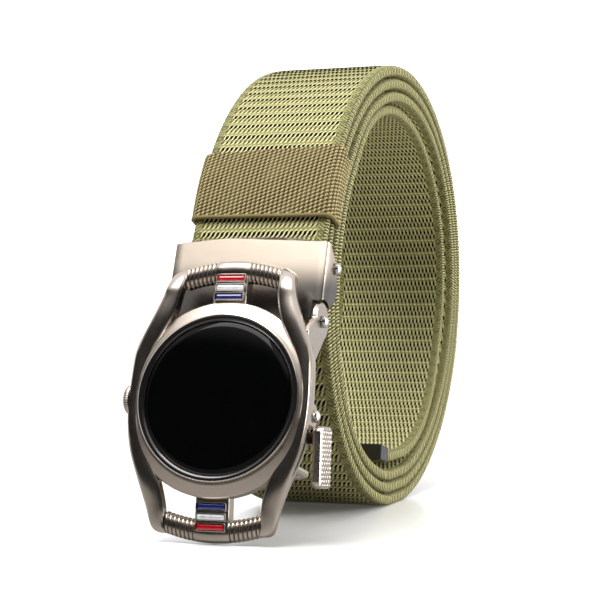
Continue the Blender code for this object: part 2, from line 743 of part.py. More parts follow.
def tab_outline():
    """The knurled tab's rounded outline about its own middle, as (Y, Z)."""
    found = []
    half_depth = TAB_DEPTH / 2 - TAB_CORNER
    half_height = TAB_HEIGHT / 2 - TAB_CORNER
    for corner, (y_side, z_side) in enumerate(((1, 1), (-1, 1), (-1, -1), (1, -1))):
        for i in range(4):
            turn = pi / 2 * corner + pi / 6 * i
            y = y_side * half_depth + TAB_CORNER * cos(turn)
            z = z_side * half_height + TAB_CORNER * sin(turn)
            found.append((y, z))
    return found


def make_release_lever(parent):
    """Tab, arm, hub and pawl plate are one bent piece that turns on the lever pin."""
    hub = rod("release_lever", LEVER_ARM_FROM, LEVER_ARM_TO, LEVER_HUB_RADIUS)
    lever = add_object("release_lever", hub, parent, SATIN)
    tab_mesh = plate("lever_tab", tab_outline(), TAB_FROM, TAB_FROM + TAB_THICKNESS)
    tab = add_object("lever_tab", tab_mesh, lever)
    tab.location = (0.0, LEVER_PIN[1] - TAB_MIDDLE[1], TAB_MIDDLE[0] - LEVER_PIN[0])
    tab.rotation_euler = (TAB_TURN, 0.0, 0.0)
    tooth_outline = [(y * MM, z * MM) for y, z in TOOTH_OUTLINE]
    tooth = plate("pawl_tooth", tooth_outline, -TOOTH_HALF_WIDTH, TOOTH_HALF_WIDTH)
    blanks = [
        add_object("lever_arm", box_between("lever_arm", ARM_BOX), lever),
        add_object("lever_shelf", box_between("lever_shelf", SHELF_BOX), lever),
        tab,
        add_object("pawl", box_between("pawl", PAWL_BOX), lever),
        add_object("pawl_tooth", tooth, lever),
    ]
    join(lever, blanks)
    hole = rod("lever_hole", LEVER_ARM_FROM - RUNNING_GAP, LEVER_ARM_TO + RUNNING_GAP, LEVER_HOLE_RADIUS)
    cut(lever, [add_object("lever_hole", hole, lever)])


def make_strap_guide(parent):
    """A bent wire behind the foot of the watch, its legs let into the backs of the rails."""
    height, out = GUIDE_PLACE
    half = GUIDE_HALF_WIDTH
    curve = bpy.data.curves.new("strap_guide", "CURVE")
    curve.dimensions = "3D"
    curve.bevel_depth = GUIDE_RADIUS
    curve.bevel_resolution = 2
    curve.use_fill_caps = True
    points = [
        (-half, -GUIDE_FRONT, height),
        (-half, -out - GUIDE_CORNER, height),
        (-half + GUIDE_CORNER, -out, height),
    ]
    points += [(-x, y, z) for x, y, z in reversed(points)]
    line = curve.splines.new("POLY")
    line.points.add(len(points) - 1)
    for point, place in zip(line.points, points):
        point.co = (*place, 1.0)
    guide = bpy.data.objects.new("strap_guide", curve)
    PIECES.objects.link(guide)
    curve.materials.append(SATIN)
    guide.parent = parent


def main():
    belt = frame_empty("belt", (-BELT_MIDDLE[0], -BELT_MIDDLE[1], 0.0), 0.0, None)
    make_strap(belt)
    make_keeper(belt)
    make_strap_tip(belt)
    make_clamp_cover(belt)
    make_clamp_jaw(belt)
    make_hinge_pin(belt)

    hinge = frame_empty("buckle_hinge", (0.0, *HINGE), -BUCKLE_LEAN, belt)
    height, out = hinge_in_buckle()
    buckle = frame_empty("buckle", (0.0, out, -height), 0.0, hinge)
    make_buckle_frame(buckle)
    make_watch(buckle)
    make_stripes(buckle, "top", TOP_BRIDGE, TOP_STRIPE_MIDDLE, (RED, WHITE, BLUE))
    make_stripes(buckle, "foot", FOOT_BRIDGE, FOOT_STRIPE_MIDDLE, (BLUE, WHITE, RED))
    make_strap_guide(buckle)
    make_lever_pin(buckle)
    lever = frame_empty("lever_turn", (0.0, -LEVER_PIN[1], LEVER_PIN[0]), 0.0, buckle)
    make_release_lever(lever)


main()
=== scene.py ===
import math

import bmesh
import bpy
from mathutils import Matrix, Vector


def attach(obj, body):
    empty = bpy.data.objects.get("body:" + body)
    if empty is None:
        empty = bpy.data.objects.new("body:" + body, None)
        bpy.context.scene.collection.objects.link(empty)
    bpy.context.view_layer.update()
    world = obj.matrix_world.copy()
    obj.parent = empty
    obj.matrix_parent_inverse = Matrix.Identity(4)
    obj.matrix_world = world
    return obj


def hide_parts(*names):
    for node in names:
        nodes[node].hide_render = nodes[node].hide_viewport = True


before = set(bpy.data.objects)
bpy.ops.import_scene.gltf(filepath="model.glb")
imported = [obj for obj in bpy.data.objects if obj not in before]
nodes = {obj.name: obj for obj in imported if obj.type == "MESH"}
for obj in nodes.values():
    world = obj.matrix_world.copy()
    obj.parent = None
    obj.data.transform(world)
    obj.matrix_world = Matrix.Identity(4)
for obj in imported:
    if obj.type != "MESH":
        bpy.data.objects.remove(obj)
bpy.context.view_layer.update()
mm = 0.001

# The belt stands with its own middle this far from the row frame's origin, in mm
beltShift = {"x": 0.25, "y": -1.04}

buckleTurn = {"lean": 14.8, "middle": (-80.8, 33.55), "hinge": (-62.2, 50.6)}
beltFrame = Matrix.Translation((beltShift["x"] * mm, beltShift["y"] * mm, 0))
buckleFrame = (
    beltFrame
    @ Matrix.Translation((0, buckleTurn["middle"][0] * mm, buckleTurn["middle"][1] * mm))
    @ Matrix.Rotation(-math.radians(buckleTurn["lean"]), 4, "X")
)


frames = {"belt": beltFrame, "buckle": buckleFrame, "lever": buckleFrame}


def placed(points, matrix):
    # Points in mm of a local frame, as metres in the row frame
    return [tuple(matrix @ (Vector(p) * mm)) for p in points]


def addObject(name, data):
    obj = bpy.data.objects.new(name, data)
    bpy.context.scene.collection.objects.link(obj)
    return obj


def newPiece(name, shape, finish, body, sharpAngle=35, spot=None, marks=None):
    # A piece from (points, faces) in its body's frame, or in a spot of it; marks are what cloth points carry
    points, faces = shape
    frameHere = frames[body] if spot is None else frames[body] @ spot
    mesh = bpy.data.meshes.new(name)
    mesh.from_pydata(placed(points, frameHere), [], faces)
    mesh.materials.append(finish)
    mesh.shade_smooth()
    mesh.set_sharp_from_angle(angle=math.radians(sharpAngle))
    obj = addObject(name, mesh)
    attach(obj, body)
    if marks:
        attribute = mesh.attributes.new(marks[0], "FLOAT_VECTOR", "POINT")
        attribute.data.foreach_set("vector", [n for mark in marks[1] for n in mark])
    return cleaned(obj)


def joined(parts):
    # Several (points, faces) as one
    points = []
    faces = []
    for somePoints, someFaces in parts:
        start = len(points)
        points += list(somePoints)
        faces += [tuple(i + start for i in face) for face in someFaces]
    return points, faces


def lofted(rings, capEnds=True):
    # A closed body through rings of equally many points; a ring runs so that faces look outwards
    count = len(rings[0])
    points = [p for ring in rings for p in ring]
    faces = []
    for i in range(len(rings) - 1):
        for j in range(count):
            k = (j + 1) % count
            faces.append((i * count + j, i * count + k, (i + 1) * count + k, (i + 1) * count + j))
    if capEnds:
        faces.append(tuple(reversed(range(count))))
        faces.append(tuple(range((len(rings) - 1) * count, len(rings) * count)))
    return points, faces


def closingFaces(ringCount, count):
    # Faces from a loft's last ring to its first, so that it closes on itself
    last = (ringCount - 1) * count
    return [(last + j, last + (j + 1) % count, (j + 1) % count, j) for j in range(count)]


def turnedRing(profile, sides, limitX=None):
    # A closed profile of (radius, out of face) turned about the watch's axis; a radius of 0 closes on it
    points = []
    faces = []
    count = len(profile)
    for i in range(sides):
        turn = 2 * math.pi * i / sides
        for radius, out in profile:
            x = radius * math.cos(turn)
            if limitX:
                x = max(-limitX, min(limitX, x))
            points.append((x, -out, radius * math.sin(turn)))
    for i in range(sides):
        nextSide = (i + 1) % sides
        for j in range(count):
            k = (j + 1) % count
            a, b = i * count + j, i * count + k
            c, d = nextSide * count + k, nextSide * count + j
            if profile[j][0] < 1e-6 and profile[k][0] < 1e-6:
                continue
            if profile[j][0] < 1e-6:
                faces.append((j, b, c))
            elif profile[k][0] < 1e-6:
                faces.append((a, k, d))
            else:
                faces.append((a, b, c, d))
    return points, faces


def cleaned(obj):
    bm = bmesh.new()
    bm.from_mesh(obj.data)
    bmesh.ops.remove_doubles(bm, verts=bm.verts, dist=1e-6)
    bmesh.ops.delete(bm, geom=[v for v in bm.verts if not v.link_faces], context="VERTS")
    bmesh.ops.recalc_face_normals(bm, faces=bm.faces)
    bm.to_mesh(obj.data)
    bm.free()
    return obj


def bevelled(obj, width, segments=2, angle=35):
    edge = obj.modifiers.new("softEdge", "BEVEL")
    edge.width = width * mm
    edge.segments = segments
    edge.limit_method = "ANGLE"
    edge.angle_limit = math.radians(angle)
    edge.harden_normals = True
    return obj


def plate(outline, xFrom, xTo):
    # An outline of (y, z) in mm, as thick as the stretch of x
    return lofted([[(x, y, z) for y, z in outline] for x in (xFrom, xTo)])


def arc(centre, radius, fromDegrees, toDegrees, steps):
    found = []
    for i in range(steps + 1):
        turn = math.radians(fromDegrees + (toDegrees - fromDegrees) * i / steps)
        found.append((centre[0] + radius * math.cos(turn), centre[1] + radius * math.sin(turn)))
    return found


def roundedBox(halfA, halfB, radius, steps=3):
    # Corners of a rounded rectangle about its middle, counted anticlockwise
    found = []
    for signA, signB, start in ((1, 1, 0), (-1, 1, 90), (-1, -1, 180), (1, -1, 270)):
        centre = (signA * (halfA - radius), signB * (halfB - radius))
        found += arc(centre, radius, start, start + 90, steps)
    return found


def catmull(rows, steps):
    # Rows of numbers smoothed through every row, with the ends kept
    ends = [rows[0], *rows, rows[-1]]
    found = []
    for a, b, c, d in zip(ends, ends[1:], ends[2:], ends[3:]):
        for i in range(steps):
            t = i / steps
            weights = (
                -0.5 * t + t * t - 0.5 * t**3,
                1 - 2.5 * t * t + 1.5 * t**3,
                0.5 * t + 2 * t * t - 1.5 * t**3,
                -0.5 * t * t + 0.5 * t**3,
            )
            found.append(tuple(sum(w * v for w, v in zip(weights, four)) for four in zip(a, b, c, d)))
    return found + [tuple(rows[-1])]


def smoothStep(value):
    value = min(max(value, 0.0), 1.0)
    return value * value * (3 - 2 * value)


def newMaterial(name):
    made = bpy.data.materials.new(name)
    made.use_nodes = True
    tree = made.node_tree
    return made, tree, tree.nodes["Principled BSDF"]


def wire(a, b):
    b.id_data.links.new(a, b)


def maths(operation, *values):
    # A maths node in the tree of whichever value is a socket
    socket = next(value for value in values if not isinstance(value, (int, float)))
    node = socket.id_data.nodes.new("ShaderNodeMath")
    node.operation = operation
    for place, value in zip(node.inputs, values):
        if isinstance(value, (int, float)):
            place.default_value = value
        else:
            wire(value, place)
    return node.outputs[0]


def times(a, b):
    return maths("MULTIPLY", a, b)


def plus(a, b):
    return maths("ADD", a, b)


def minus(a, b):
    return maths("SUBTRACT", a, b)


def larger(a, b):
    return maths("MAXIMUM", a, b)


def absolute(value):
    return maths("ABSOLUTE", value)


def squared(value):
    return maths("POWER", absolute(value), 2.0)


def offMiddle(value):
    # How far a repeating value lies from the middle of its step, in steps
    return minus(maths("FRACT", value), 0.5)


def mixed(share, first, second):
    node = share.id_data.nodes.new("ShaderNodeMix")
    node.data_type = "RGBA"
    for socket, value in ((node.inputs[0], share), (node.inputs[6], first), (node.inputs[7], second)):
        if isinstance(value, tuple):
            socket.default_value = (*value, 1.0)
        else:
            wire(value, socket)
    return node.outputs[2]


def ranged(value, fromLow, fromHigh, toLow, toHigh):
    node = value.id_data.nodes.new("ShaderNodeMapRange")
    node.interpolation_type = "SMOOTHSTEP"
    wire(value, node.inputs["Value"])
    for key, number in (("From Min", fromLow), ("From Max", fromHigh), ("To Min", toLow), ("To Max", toHigh)):
        node.inputs[key].default_value = number
    return node.outputs["Result"]


def noise(vector, scale, detail=2.0):
    node = vector.id_data.nodes.new("ShaderNodeTexNoise")
    node.inputs["Scale"].default_value = scale
    node.inputs["Detail"].default_value = detail
    wire(vector, node.inputs["Vector"])
    return node.outputs["Fac"]


def stretched(vector, scale):
    node = vector.id_data.nodes.new("ShaderNodeMapping")
    wire(vector, node.inputs["Vector"])
    node.inputs["Scale"].default_value = scale
    return node.outputs["Vector"]


def bumped(shader, height, distance, strength):
    node = shader.id_data.nodes.new("ShaderNodeBump")
    node.inputs["Distance"].default_value = distance
    node.inputs["Strength"].default_value = strength
    wire(height, node.inputs["Height"])
    wire(node.outputs["Normal"], shader.inputs["Normal"])


def inObject(tree):
    return tree.nodes.new("ShaderNodeTexCoord").outputs["Object"]


def axesOf(vector):
    split = vector.id_data.nodes.new("ShaderNodeSeparateXYZ")
    wire(vector, split.inputs[0])
    return split.outputs


def clothAt(tree, attribute):
    # The three numbers that the cloth's mesh carries, as one vector and one by one
    node = tree.nodes.new("ShaderNodeAttribute")
    node.attribute_name = attribute
    return node.outputs["Vector"], *axesOf(node.outputs["Vector"])


webbing = {
    "rowPitch": 4.25,  # mm from one bold row of holes to the next
    "rowSteps": 5, "holePitch": 1.2, "halfWidth": 17.5, "halfThickness": 1.45, "wovenHalf": 15.0,
    "edgeAt": 16.5, "endSquash": 0.72, "sideSteps": 6, "columnPitch": 0.6, "columns": 51,
    "fineOuterTo": 374, "fineInnerFrom": 960,  # degrees of winding where a face has its full relief
    # light is a painted highlight for the strands' crests, deep a painted shade for the holes
    "light": (0.92, 0.87, 0.48), "base": (0.27, 0.25, 0.075), "deep": (0.006, 0.006, 0.002),
    "loopAt": 16.1, "loopSize": 0.72, "braidPitch": 1.06, "ribPitch": 0.85, "roughness": 0.62,
    # row on the outer face and on the inner one, shift sideways, half length and width,
    # how far off its fade starts and ends, strength
    "boldHole": (0.2, 0.2, 0.0, 0.92, 0.34, 0.55, 1.5, 1.0),
    "dotHole": (0.8, 0.8, 0.5, 0.5, 0.25, 0.4, 1.5, 0.85),
    "lowHole": (0.42, 0.42, 0.0, 0.70, 0.28, 0.45, 1.5, 1.0),
    "highHole": (0.8, 0.8, 0.5, 0.64, 0.27, 0.45, 1.5, 1.0),
    "strand": (0.2, 0.42, 0.5, 1.15, 0.42, 0.1, 1.2, 1.0),
    "dotStrand": (0.8, 0.8, 0.0, 0.85, 0.44, 0.1, 1.2, 0.8),
    "bump": (0.44, 0.08, 0.2, 0.42, 0.52, 0.1, 1.15, 1.0),
}


def webbingMaterial():
    made, tree, shader = newMaterial("oliveWebbing")
    place, along, across, side = clothAt(tree, "weaveAt")
    rows = maths("DIVIDE", along, webbing["rowPitch"])
    pitch = webbing["holePitch"]
    slant = maths("MULTIPLY_ADD", side, 0.19, 0.31)
    inner = ranged(side, -0.2, 0.2, 1.0, 0.0)
    offAxis = absolute(across)

    def spots(key):
        # 1 in the middle of each hole, strand or bump of one row, 0 outside them
        rowAt, innerRowAt, shift, halfLength, halfWidth, fadeFrom, fadeTo, strength = webbing[key]
        moved = rows if innerRowAt == rowAt else minus(rows, times(inner, innerRowAt - rowAt))
        offRow = times(offMiddle(minus(moved, rowAt - 0.5)), webbing["rowPitch"])
        column = maths("DIVIDE", minus(across, times(offRow, slant)), pitch)
        offHole = times(offMiddle(minus(column, shift - 0.5)), pitch)
        a = squared(maths("DIVIDE", offRow, halfLength))
        b = squared(maths("DIVIDE", offHole, halfWidth))
        return ranged(plus(a, b), fadeFrom, fadeTo, strength, 0.0)

    woven = ranged(offAxis, webbing["wovenHalf"], 15.4, 1.0, 0.0)
    # the holes are painted near-black as shade and the crests painted light as highlight, on top of the real
    # relief
    outerHoles = times(minus(1.0, inner), larger(spots("boldHole"), spots("dotHole")))
    innerHoles = times(inner, larger(spots("lowHole"), spots("highHole")))
    holes = times(woven, larger(outerHoles, innerHoles))
    crests = times(woven, larger(larger(spots("strand"), spots("dotStrand")), spots("bump")))

    # selvedge: a small broken loop to each row, with braided threads round it; the loops' rings and the
    # troughs between the threads are painted dark as shade
    a = squared(times(offMiddle(plus(rows, 0.3)), webbing["rowPitch"] / webbing["loopSize"]))
    b = squared(maths("DIVIDE", minus(offAxis, webbing["loopAt"]), webbing["loopSize"]))
    ring = absolute(minus(maths("SQRT", plus(a, b)), 1.0))
    ragged = noise(place, 1.3, 3.0)
    loops = times(ranged(ring, 0.1, 0.45, 1.0, 0.0), ranged(ragged, 0.36, 0.56, 0.1, 0.9))
    phase = plus(along, times(offAxis, 0.9))
    braid = maths("SINE", times(phase, 2 * math.pi / webbing["braidPitch"]))
    braids = times(ranged(braid, -1.0, 0.1, 0.8, 0.0), ranged(offAxis, 15.1, 15.7, 0.0, 1.0))
    outside = minus(1.0, woven)
    loops = times(outside, larger(loops, braids))

    # edge faces: fine curved ribs, painted light on their crests as highlight and dark in their grooves as
    # shade, and painted dark near the faces as shade between the layers
    onEdge = ranged(offAxis, 16.75, 17.05, 0.0, 1.0)
    curl = times(times(side, side), 0.55)
    uneven = times(minus(noise(place, 0.7, 2.0), 0.5), 0.5)
    phase = plus(plus(along, curl), uneven)
    ribs = maths("SINE", times(phase, 2 * math.pi / webbing["ribPitch"]))
    grooves = times(onEdge, ranged(ribs, -0.8, 0.35, 1.0, 0.0))
    rim = times(onEdge, ranged(absolute(side), 0.62, 0.98, 0.0, 1.0))

    fibre = noise(stretched(place, (1.2, 7.0, 1.0)), 1.6, 3.0)
    broad = noise(place, 0.045, 2.0)
    colour = webbing["base"]
    for share, tone in (
        (ranged(fibre, 0.3, 0.75, 0.0, 0.45), (0.36, 0.35, 0.14)),
        # painted highlight on the strands' crests
        (times(crests, ranged(fibre, 0.25, 0.6, 0.72, 1.0)), webbing["light"]),
        (ranged(broad, 0.35, 0.7, 0.0, 0.18), (0.42, 0.37, 0.14)),
        (times(outside, 0.35), (0.50, 0.48, 0.22)),
        # painted shade in the selvedge's loops and braids
        (loops, (0.07, 0.07, 0.02)),
        # painted highlight on the ribs, painted shade in their grooves and between the layers
        (times(onEdge, ranged(ribs, 0.2, 0.9, 0.0, 0.75)), (0.70, 0.64, 0.30)),
        (times(grooves, 0.9), (0.06, 0.06, 0.02)),
        (times(rim, 0.6), (0.05, 0.05, 0.015)),
        # painted shade in the holes
        (holes, webbing["deep"]),
    ):
        colour = mixed(share, colour, tone)
    wire(colour, shader.inputs["Base Color"])

    height = times(crests, 0.6)
    for part, depth in ((holes, 1.2), (loops, 0.5), (grooves, 0.7)):
        height = minus(height, times(part, depth))
    height = plus(height, times(fibre, 0.25))
    bumped(shader, height, 0.5 * mm, 1.0)
    shader.inputs["Roughness"].default_value = webbing["roughness"]
    wire(ranged(holes, 0.0, 0.5, 0.22, 0.0), shader.inputs["Specular IOR Level"])
    return made


# Centre line of the strap, from the side as (y, z) in mm
roll = {
    "halfDepth": 71.6, "halfHeight": 61.0, "centre": (16.5, 61.1), "lean": math.radians(11.5),
    "start": 153.0, "travel": 1355.0, "step": 1.5, "leadSteps": 12,
    "pitch": 3.5, "pitchSwing": 0.25, "pitchWidest": 20.0,
    "stepInFrom": 0.79, "stepInShare": 0.18, "tailFrom": 1220.0, "tailLift": 1.9,
    "roomFrom": 600.0, "roomDepth": 1.3, "roomFlat": 13.0, "roomFade": 24.0,
    "sideways": -2.2, "sidewaysFrom": (1100.0, 1165.0), "sidewaysTo": (1262.0, 1322.0),
    "clampedEnd": ((-59.2, 54.8), (-56.2, 63.0), (-52.9, 69.8)),
}


def rollPoint(degrees, depth):
    turn = math.radians(degrees)
    a, b = roll["halfDepth"], roll["halfHeight"]
    along, up = a * math.cos(turn), b * math.sin(turn)
    normalAlong, normalUp = math.cos(turn) / a, math.sin(turn) / b
    size = math.hypot(normalAlong, normalUp)
    along -= depth * normalAlong / size
    up -= depth * normalUp / size
    y = roll["centre"][0] + along * math.cos(roll["lean"]) - up * math.sin(roll["lean"])
    z = roll["centre"][1] + along * math.sin(roll["lean"]) + up * math.cos(roll["lean"])
    return y, max(z, depth)


def pitchAt(degrees):
    return roll["pitch"] + roll["pitchSwing"] * math.cos(math.radians(degrees - roll["pitchWidest"]))


def keeperRoom(travel):
    # the inner layers stand in where the keeper's wall passes between them
    if travel < roll["roomFrom"]:
        return 0.0
    middle = roll["start"] - (keeper["from"] + keeper["to"]) / 2
    away = abs((travel - middle + 180) % 360 - 180)
    return roll["roomDepth"] * smoothStep((roll["roomFlat"] + roll["roomFade"] - away) / roll["roomFade"])


def sidewaysAt(travel):
    # the innermost turn lies a little to the left at the back
    rise = (travel - roll["sidewaysFrom"][0]) / (roll["sidewaysFrom"][1] - roll["sidewaysFrom"][0])
    fall = (travel - roll["sidewaysTo"][0]) / (roll["sidewaysTo"][1] - roll["sidewaysTo"][0])
    return roll["sideways"] * smoothStep(rise) * (1 - smoothStep(fall))


def strapMiddle(travel):
    degrees = roll["start"] - travel
    turns = math.floor(travel / 360)
    layer = turns + smoothStep((travel / 360 - turns - roll["stepInFrom"]) / roll["stepInShare"])
    lift = roll["tailLift"] * smoothStep((travel - roll["tailFrom"]) / (roll["travel"] - roll["tailFrom"]))
    return rollPoint(degrees, webbing["halfThickness"] + layer * pitchAt(degrees) + lift + keeperRoom(travel))


def strapPath():
    # (y, z, degrees of winding) from the clamped end on, one for each step of the weave
    steps = int(roll["travel"] / roll["step"])
    travels = [roll["travel"] * i / steps for i in range(steps + 1)]
    wound = [(*strapMiddle(t), t) for t in travels]
    clamped = [(y, z, 0.0) for y, z in roll["clampedEnd"]]
    lead = catmull([*clamped, wound[0], wound[6]], roll["leadSteps"])[:len(clamped) * roll["leadSteps"]]
    fine = lead + wound
    lengths = [0.0]
    for p, q in zip(fine, fine[1:]):
        lengths.append(lengths[-1] + math.dist(p[:2], q[:2]))
    count = int(lengths[-1] / (webbing["rowPitch"] / webbing["rowSteps"]))
    found = []
    at = 0
    for i in range(count + 1):
        goal = i * lengths[-1] / count
        while at < len(fine) - 2 and lengths[at + 1] < goal:
            at += 1
        share = (goal - lengths[at]) / max(lengths[at + 1] - lengths[at], 1e-9)
        p, q = fine[at], fine[at + 1]
        found.append(tuple(m + (n - m) * share for m, n in zip(p, q)))
    return found


def relief(row, column, inside):
    # how far the cloth stands out here, in mm, from the row's step and the column of half pitches
    step = row % webbing["rowSteps"]
    odd = column % 2 == 1
    if step == (2 if inside else 1):
        return 0.16 if odd else -0.36
    if step == (0 if inside else 2):
        return 0.14
    if step == 4:
        return -0.26 if odd else 0.1
    return 0.04


def makeStrap(finish):
    path = strapPath()
    count = len(path)
    half, thick = webbing["halfWidth"], webbing["halfThickness"]
    woven, edge, pitch = webbing["wovenHalf"], webbing["edgeAt"], webbing["columnPitch"]
    inWeave = [-woven + pitch * j for j in range(webbing["columns"])]
    fineColumns = [-edge, -16.0, -15.5, *inWeave, 15.5, 16.0, edge]
    plainColumns = [-edge, -6.0, 6.0, edge]
    sideSteps = webbing["sideSteps"]
    points = []
    marks = []
    rows = []
    for i, (y, z, travel) in enumerate(path):
        before, after = path[max(i - 1, 0)], path[min(i + 1, count - 1)]
        along = Vector((after[0] - before[0], after[1] - before[1])).normalized()
        outwards = Vector((-along.y, along.x))
        fineOuter = travel < webbing["fineOuterTo"]
        fineInner = travel > webbing["fineInnerFrom"]
        length = i * webbing["rowPitch"] / webbing["rowSteps"]
        aside = sidewaysAt(travel)
        row = {"outer": [], "right": [], "inner": [], "left": []}

        def put(x, height, side, bag):
            spot = Vector((y, z)) + outwards * height
            bag.append(len(points))
            points.append((x + aside, spot.x, spot.y))
            marks.append((length, x, side))

        squash = webbing["endSquash"] if i in (0, count - 1) else 1.0
        for sideName, fine, sign in (("outer", fineOuter, 1), ("inner", fineInner, -1)):
            columns = fineColumns if fine else plainColumns
            if sign < 0:
                columns = list(reversed(columns))
            for x in columns:
                lift = 0.0
                if fine and abs(x) <= woven:
                    lift = relief(i, round((x + woven) / pitch), sign < 0)
                put(x, sign * (thick * squash + lift), sign, row[sideName])
        for sideName, sign in (("right", 1), ("left", -1)):
            bulge = 0.10 if i % 2 == 0 else -0.06
            for step in range(1, sideSteps):
                turn = math.radians(90 - 180 * step / sideSteps)
                height = sign * thick * math.sin(turn) * squash
                x = edge + (half - edge + bulge) * math.cos(turn) ** 0.8
                put(sign * x, height, math.sin(turn) * sign, row[sideName])
        rows.append(row)

    faces = []

    def bridge(a, b):
        # Faces between two rows of points that may be fine on one side and plain on the other
        if len(a) == len(b):
            for j in range(len(a) - 1):
                faces.append((a[j], a[j + 1], b[j + 1], b[j]))
            return
        fineRow, plainRow, flip = (a, b, False) if len(a) > len(b) else (b, a, True)
        at = 0
        for j in range(len(plainRow) - 1):
            goal = round((j + 1) * (len(fineRow) - 1) / (len(plainRow) - 1))
            part = list(fineRow[at:goal + 1]) + [plainRow[j + 1], plainRow[j]]
            faces.append(tuple(reversed(part)) if flip else tuple(part))
            at = goal

    for a, b in zip(rows, rows[1:]):
        bridge(a["outer"], b["outer"])
        bridge([a["outer"][-1], *a["right"], a["inner"][0]], [b["outer"][-1], *b["right"], b["inner"][0]])
        bridge(a["inner"], b["inner"])
        bridge([a["inner"][-1], *a["left"], a["outer"][0]], [b["inner"][-1], *b["left"], b["outer"][0]])
    for row, flip in ((rows[0], True), (rows[-1], False)):
        loop = [*row["outer"], *row["right"], *row["inner"], *row["left"]]
        faces.append(tuple(loop) if flip else tuple(reversed(loop)))
    strap = newPiece("webbingStrap", (points, faces), finish, "belt", 80, marks=("weaveAt", marks))
    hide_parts("strap")
    print("strap made")


keeper = {
    "from": 152.4, "to": 134.9, "wall": 0.9, "clear": 0.35, "layers": 2, "skew": 0.045,
    "corner": 2.6, "rowPitch": 1.02, "stitchPitch": 0.96, "rise": -0.38, "lean": 0.5,
    "stepAround": 0.235, "stepAlong": 0.25, "lip": 0.55, "push": 0.26, "plainMark": 0.5,
    # light is a painted highlight for the stitches' crests, deep a painted shade for the gaps between them
    "light": (0.74, 0.61, 0.33), "base": (0.20, 0.155, 0.06), "deep": (0.010, 0.006, 0.002),
}


def stitchHeight(across, up):
    # 0 in the gaps, 1 on a stitch's crest
    row = (up - keeper["rise"] * across) / keeper["rowPitch"]
    number = math.floor(row)
    inRow = row - number
    stitch = (across + keeper["lean"] * up) / keeper["stitchPitch"] + 0.5 * number
    inStitch = stitch - math.floor(stitch)
    a = abs(inRow - 0.5) / 0.5
    b = abs(inStitch - 0.5) / 0.5
    return max(0.0, 1 - a**2.0) * max(0.0, 1 - b**2.0)


def keeperMaterial():
    made, tree, shader = newMaterial("khakiKnit")
    place, across, up, height = clothAt(tree, "knitAt")
    fibre = noise(stretched(place, (5.0, 5.0, 1.0)), 1.5, 3.0)
    broad = noise(place, 0.12, 2.0)
    # painted shade in the gaps between stitches and painted highlight on their crests, by stitch height
    colour = keeper["deep"]
    for share, tone in (
        (ranged(height, 0.15, 0.5, 0.0, 1.0), keeper["base"]),
        (ranged(height, 0.42, 0.85, 0.0, 1.0), keeper["light"]),
        (ranged(fibre, 0.35, 0.7, 0.0, 0.35), (0.16, 0.13, 0.05)),
        (ranged(broad, 0.4, 0.7, 0.0, 0.2), (0.36, 0.33, 0.15)),
    ):
        colour = mixed(share, colour, tone)
    wire(colour, shader.inputs["Base Color"])
    bumped(shader, plus(height, times(fibre, 0.25)), 0.25 * mm, 0.7)
    shader.inputs["Roughness"].default_value = 0.78
    shader.inputs["Specular IOR Level"].default_value = 0.12
    return made


def keeperAngle(share):
    return keeper["from"] + (keeper["to"] - keeper["from"]) * share


def beyond(value, reach):
    # The part of a value that lies past the straight stretch on either side
    return value - math.copysign(min(abs(value), reach), value)


def loopOutline(halfA, halfB, corner, step):
    # A rounded rectangle with finely stepped straight sides
    sides = ((1, 1, 0), (-1, 1, 90), (-1, -1, 180), (1, -1, 270))
    found = []
    for k, (signA, signB, start) in enumerate(sides):
        found += arc((signA * (halfA - corner), signB * (halfB - corner)), corner, start, start + 90, 11)
        a = found[-1]
        nextA, nextB, start = sides[(k + 1) % 4]
        b = arc((nextA * (halfA - corner), nextB * (halfB - corner)), corner, start, start, 1)[0]
        count = int(math.dist(a, b) / step)
        for j in range(1, count):
            found.append((a[0] + (b[0] - a[0]) * j / count, a[1] + (b[1] - a[1]) * j / count))
    return found


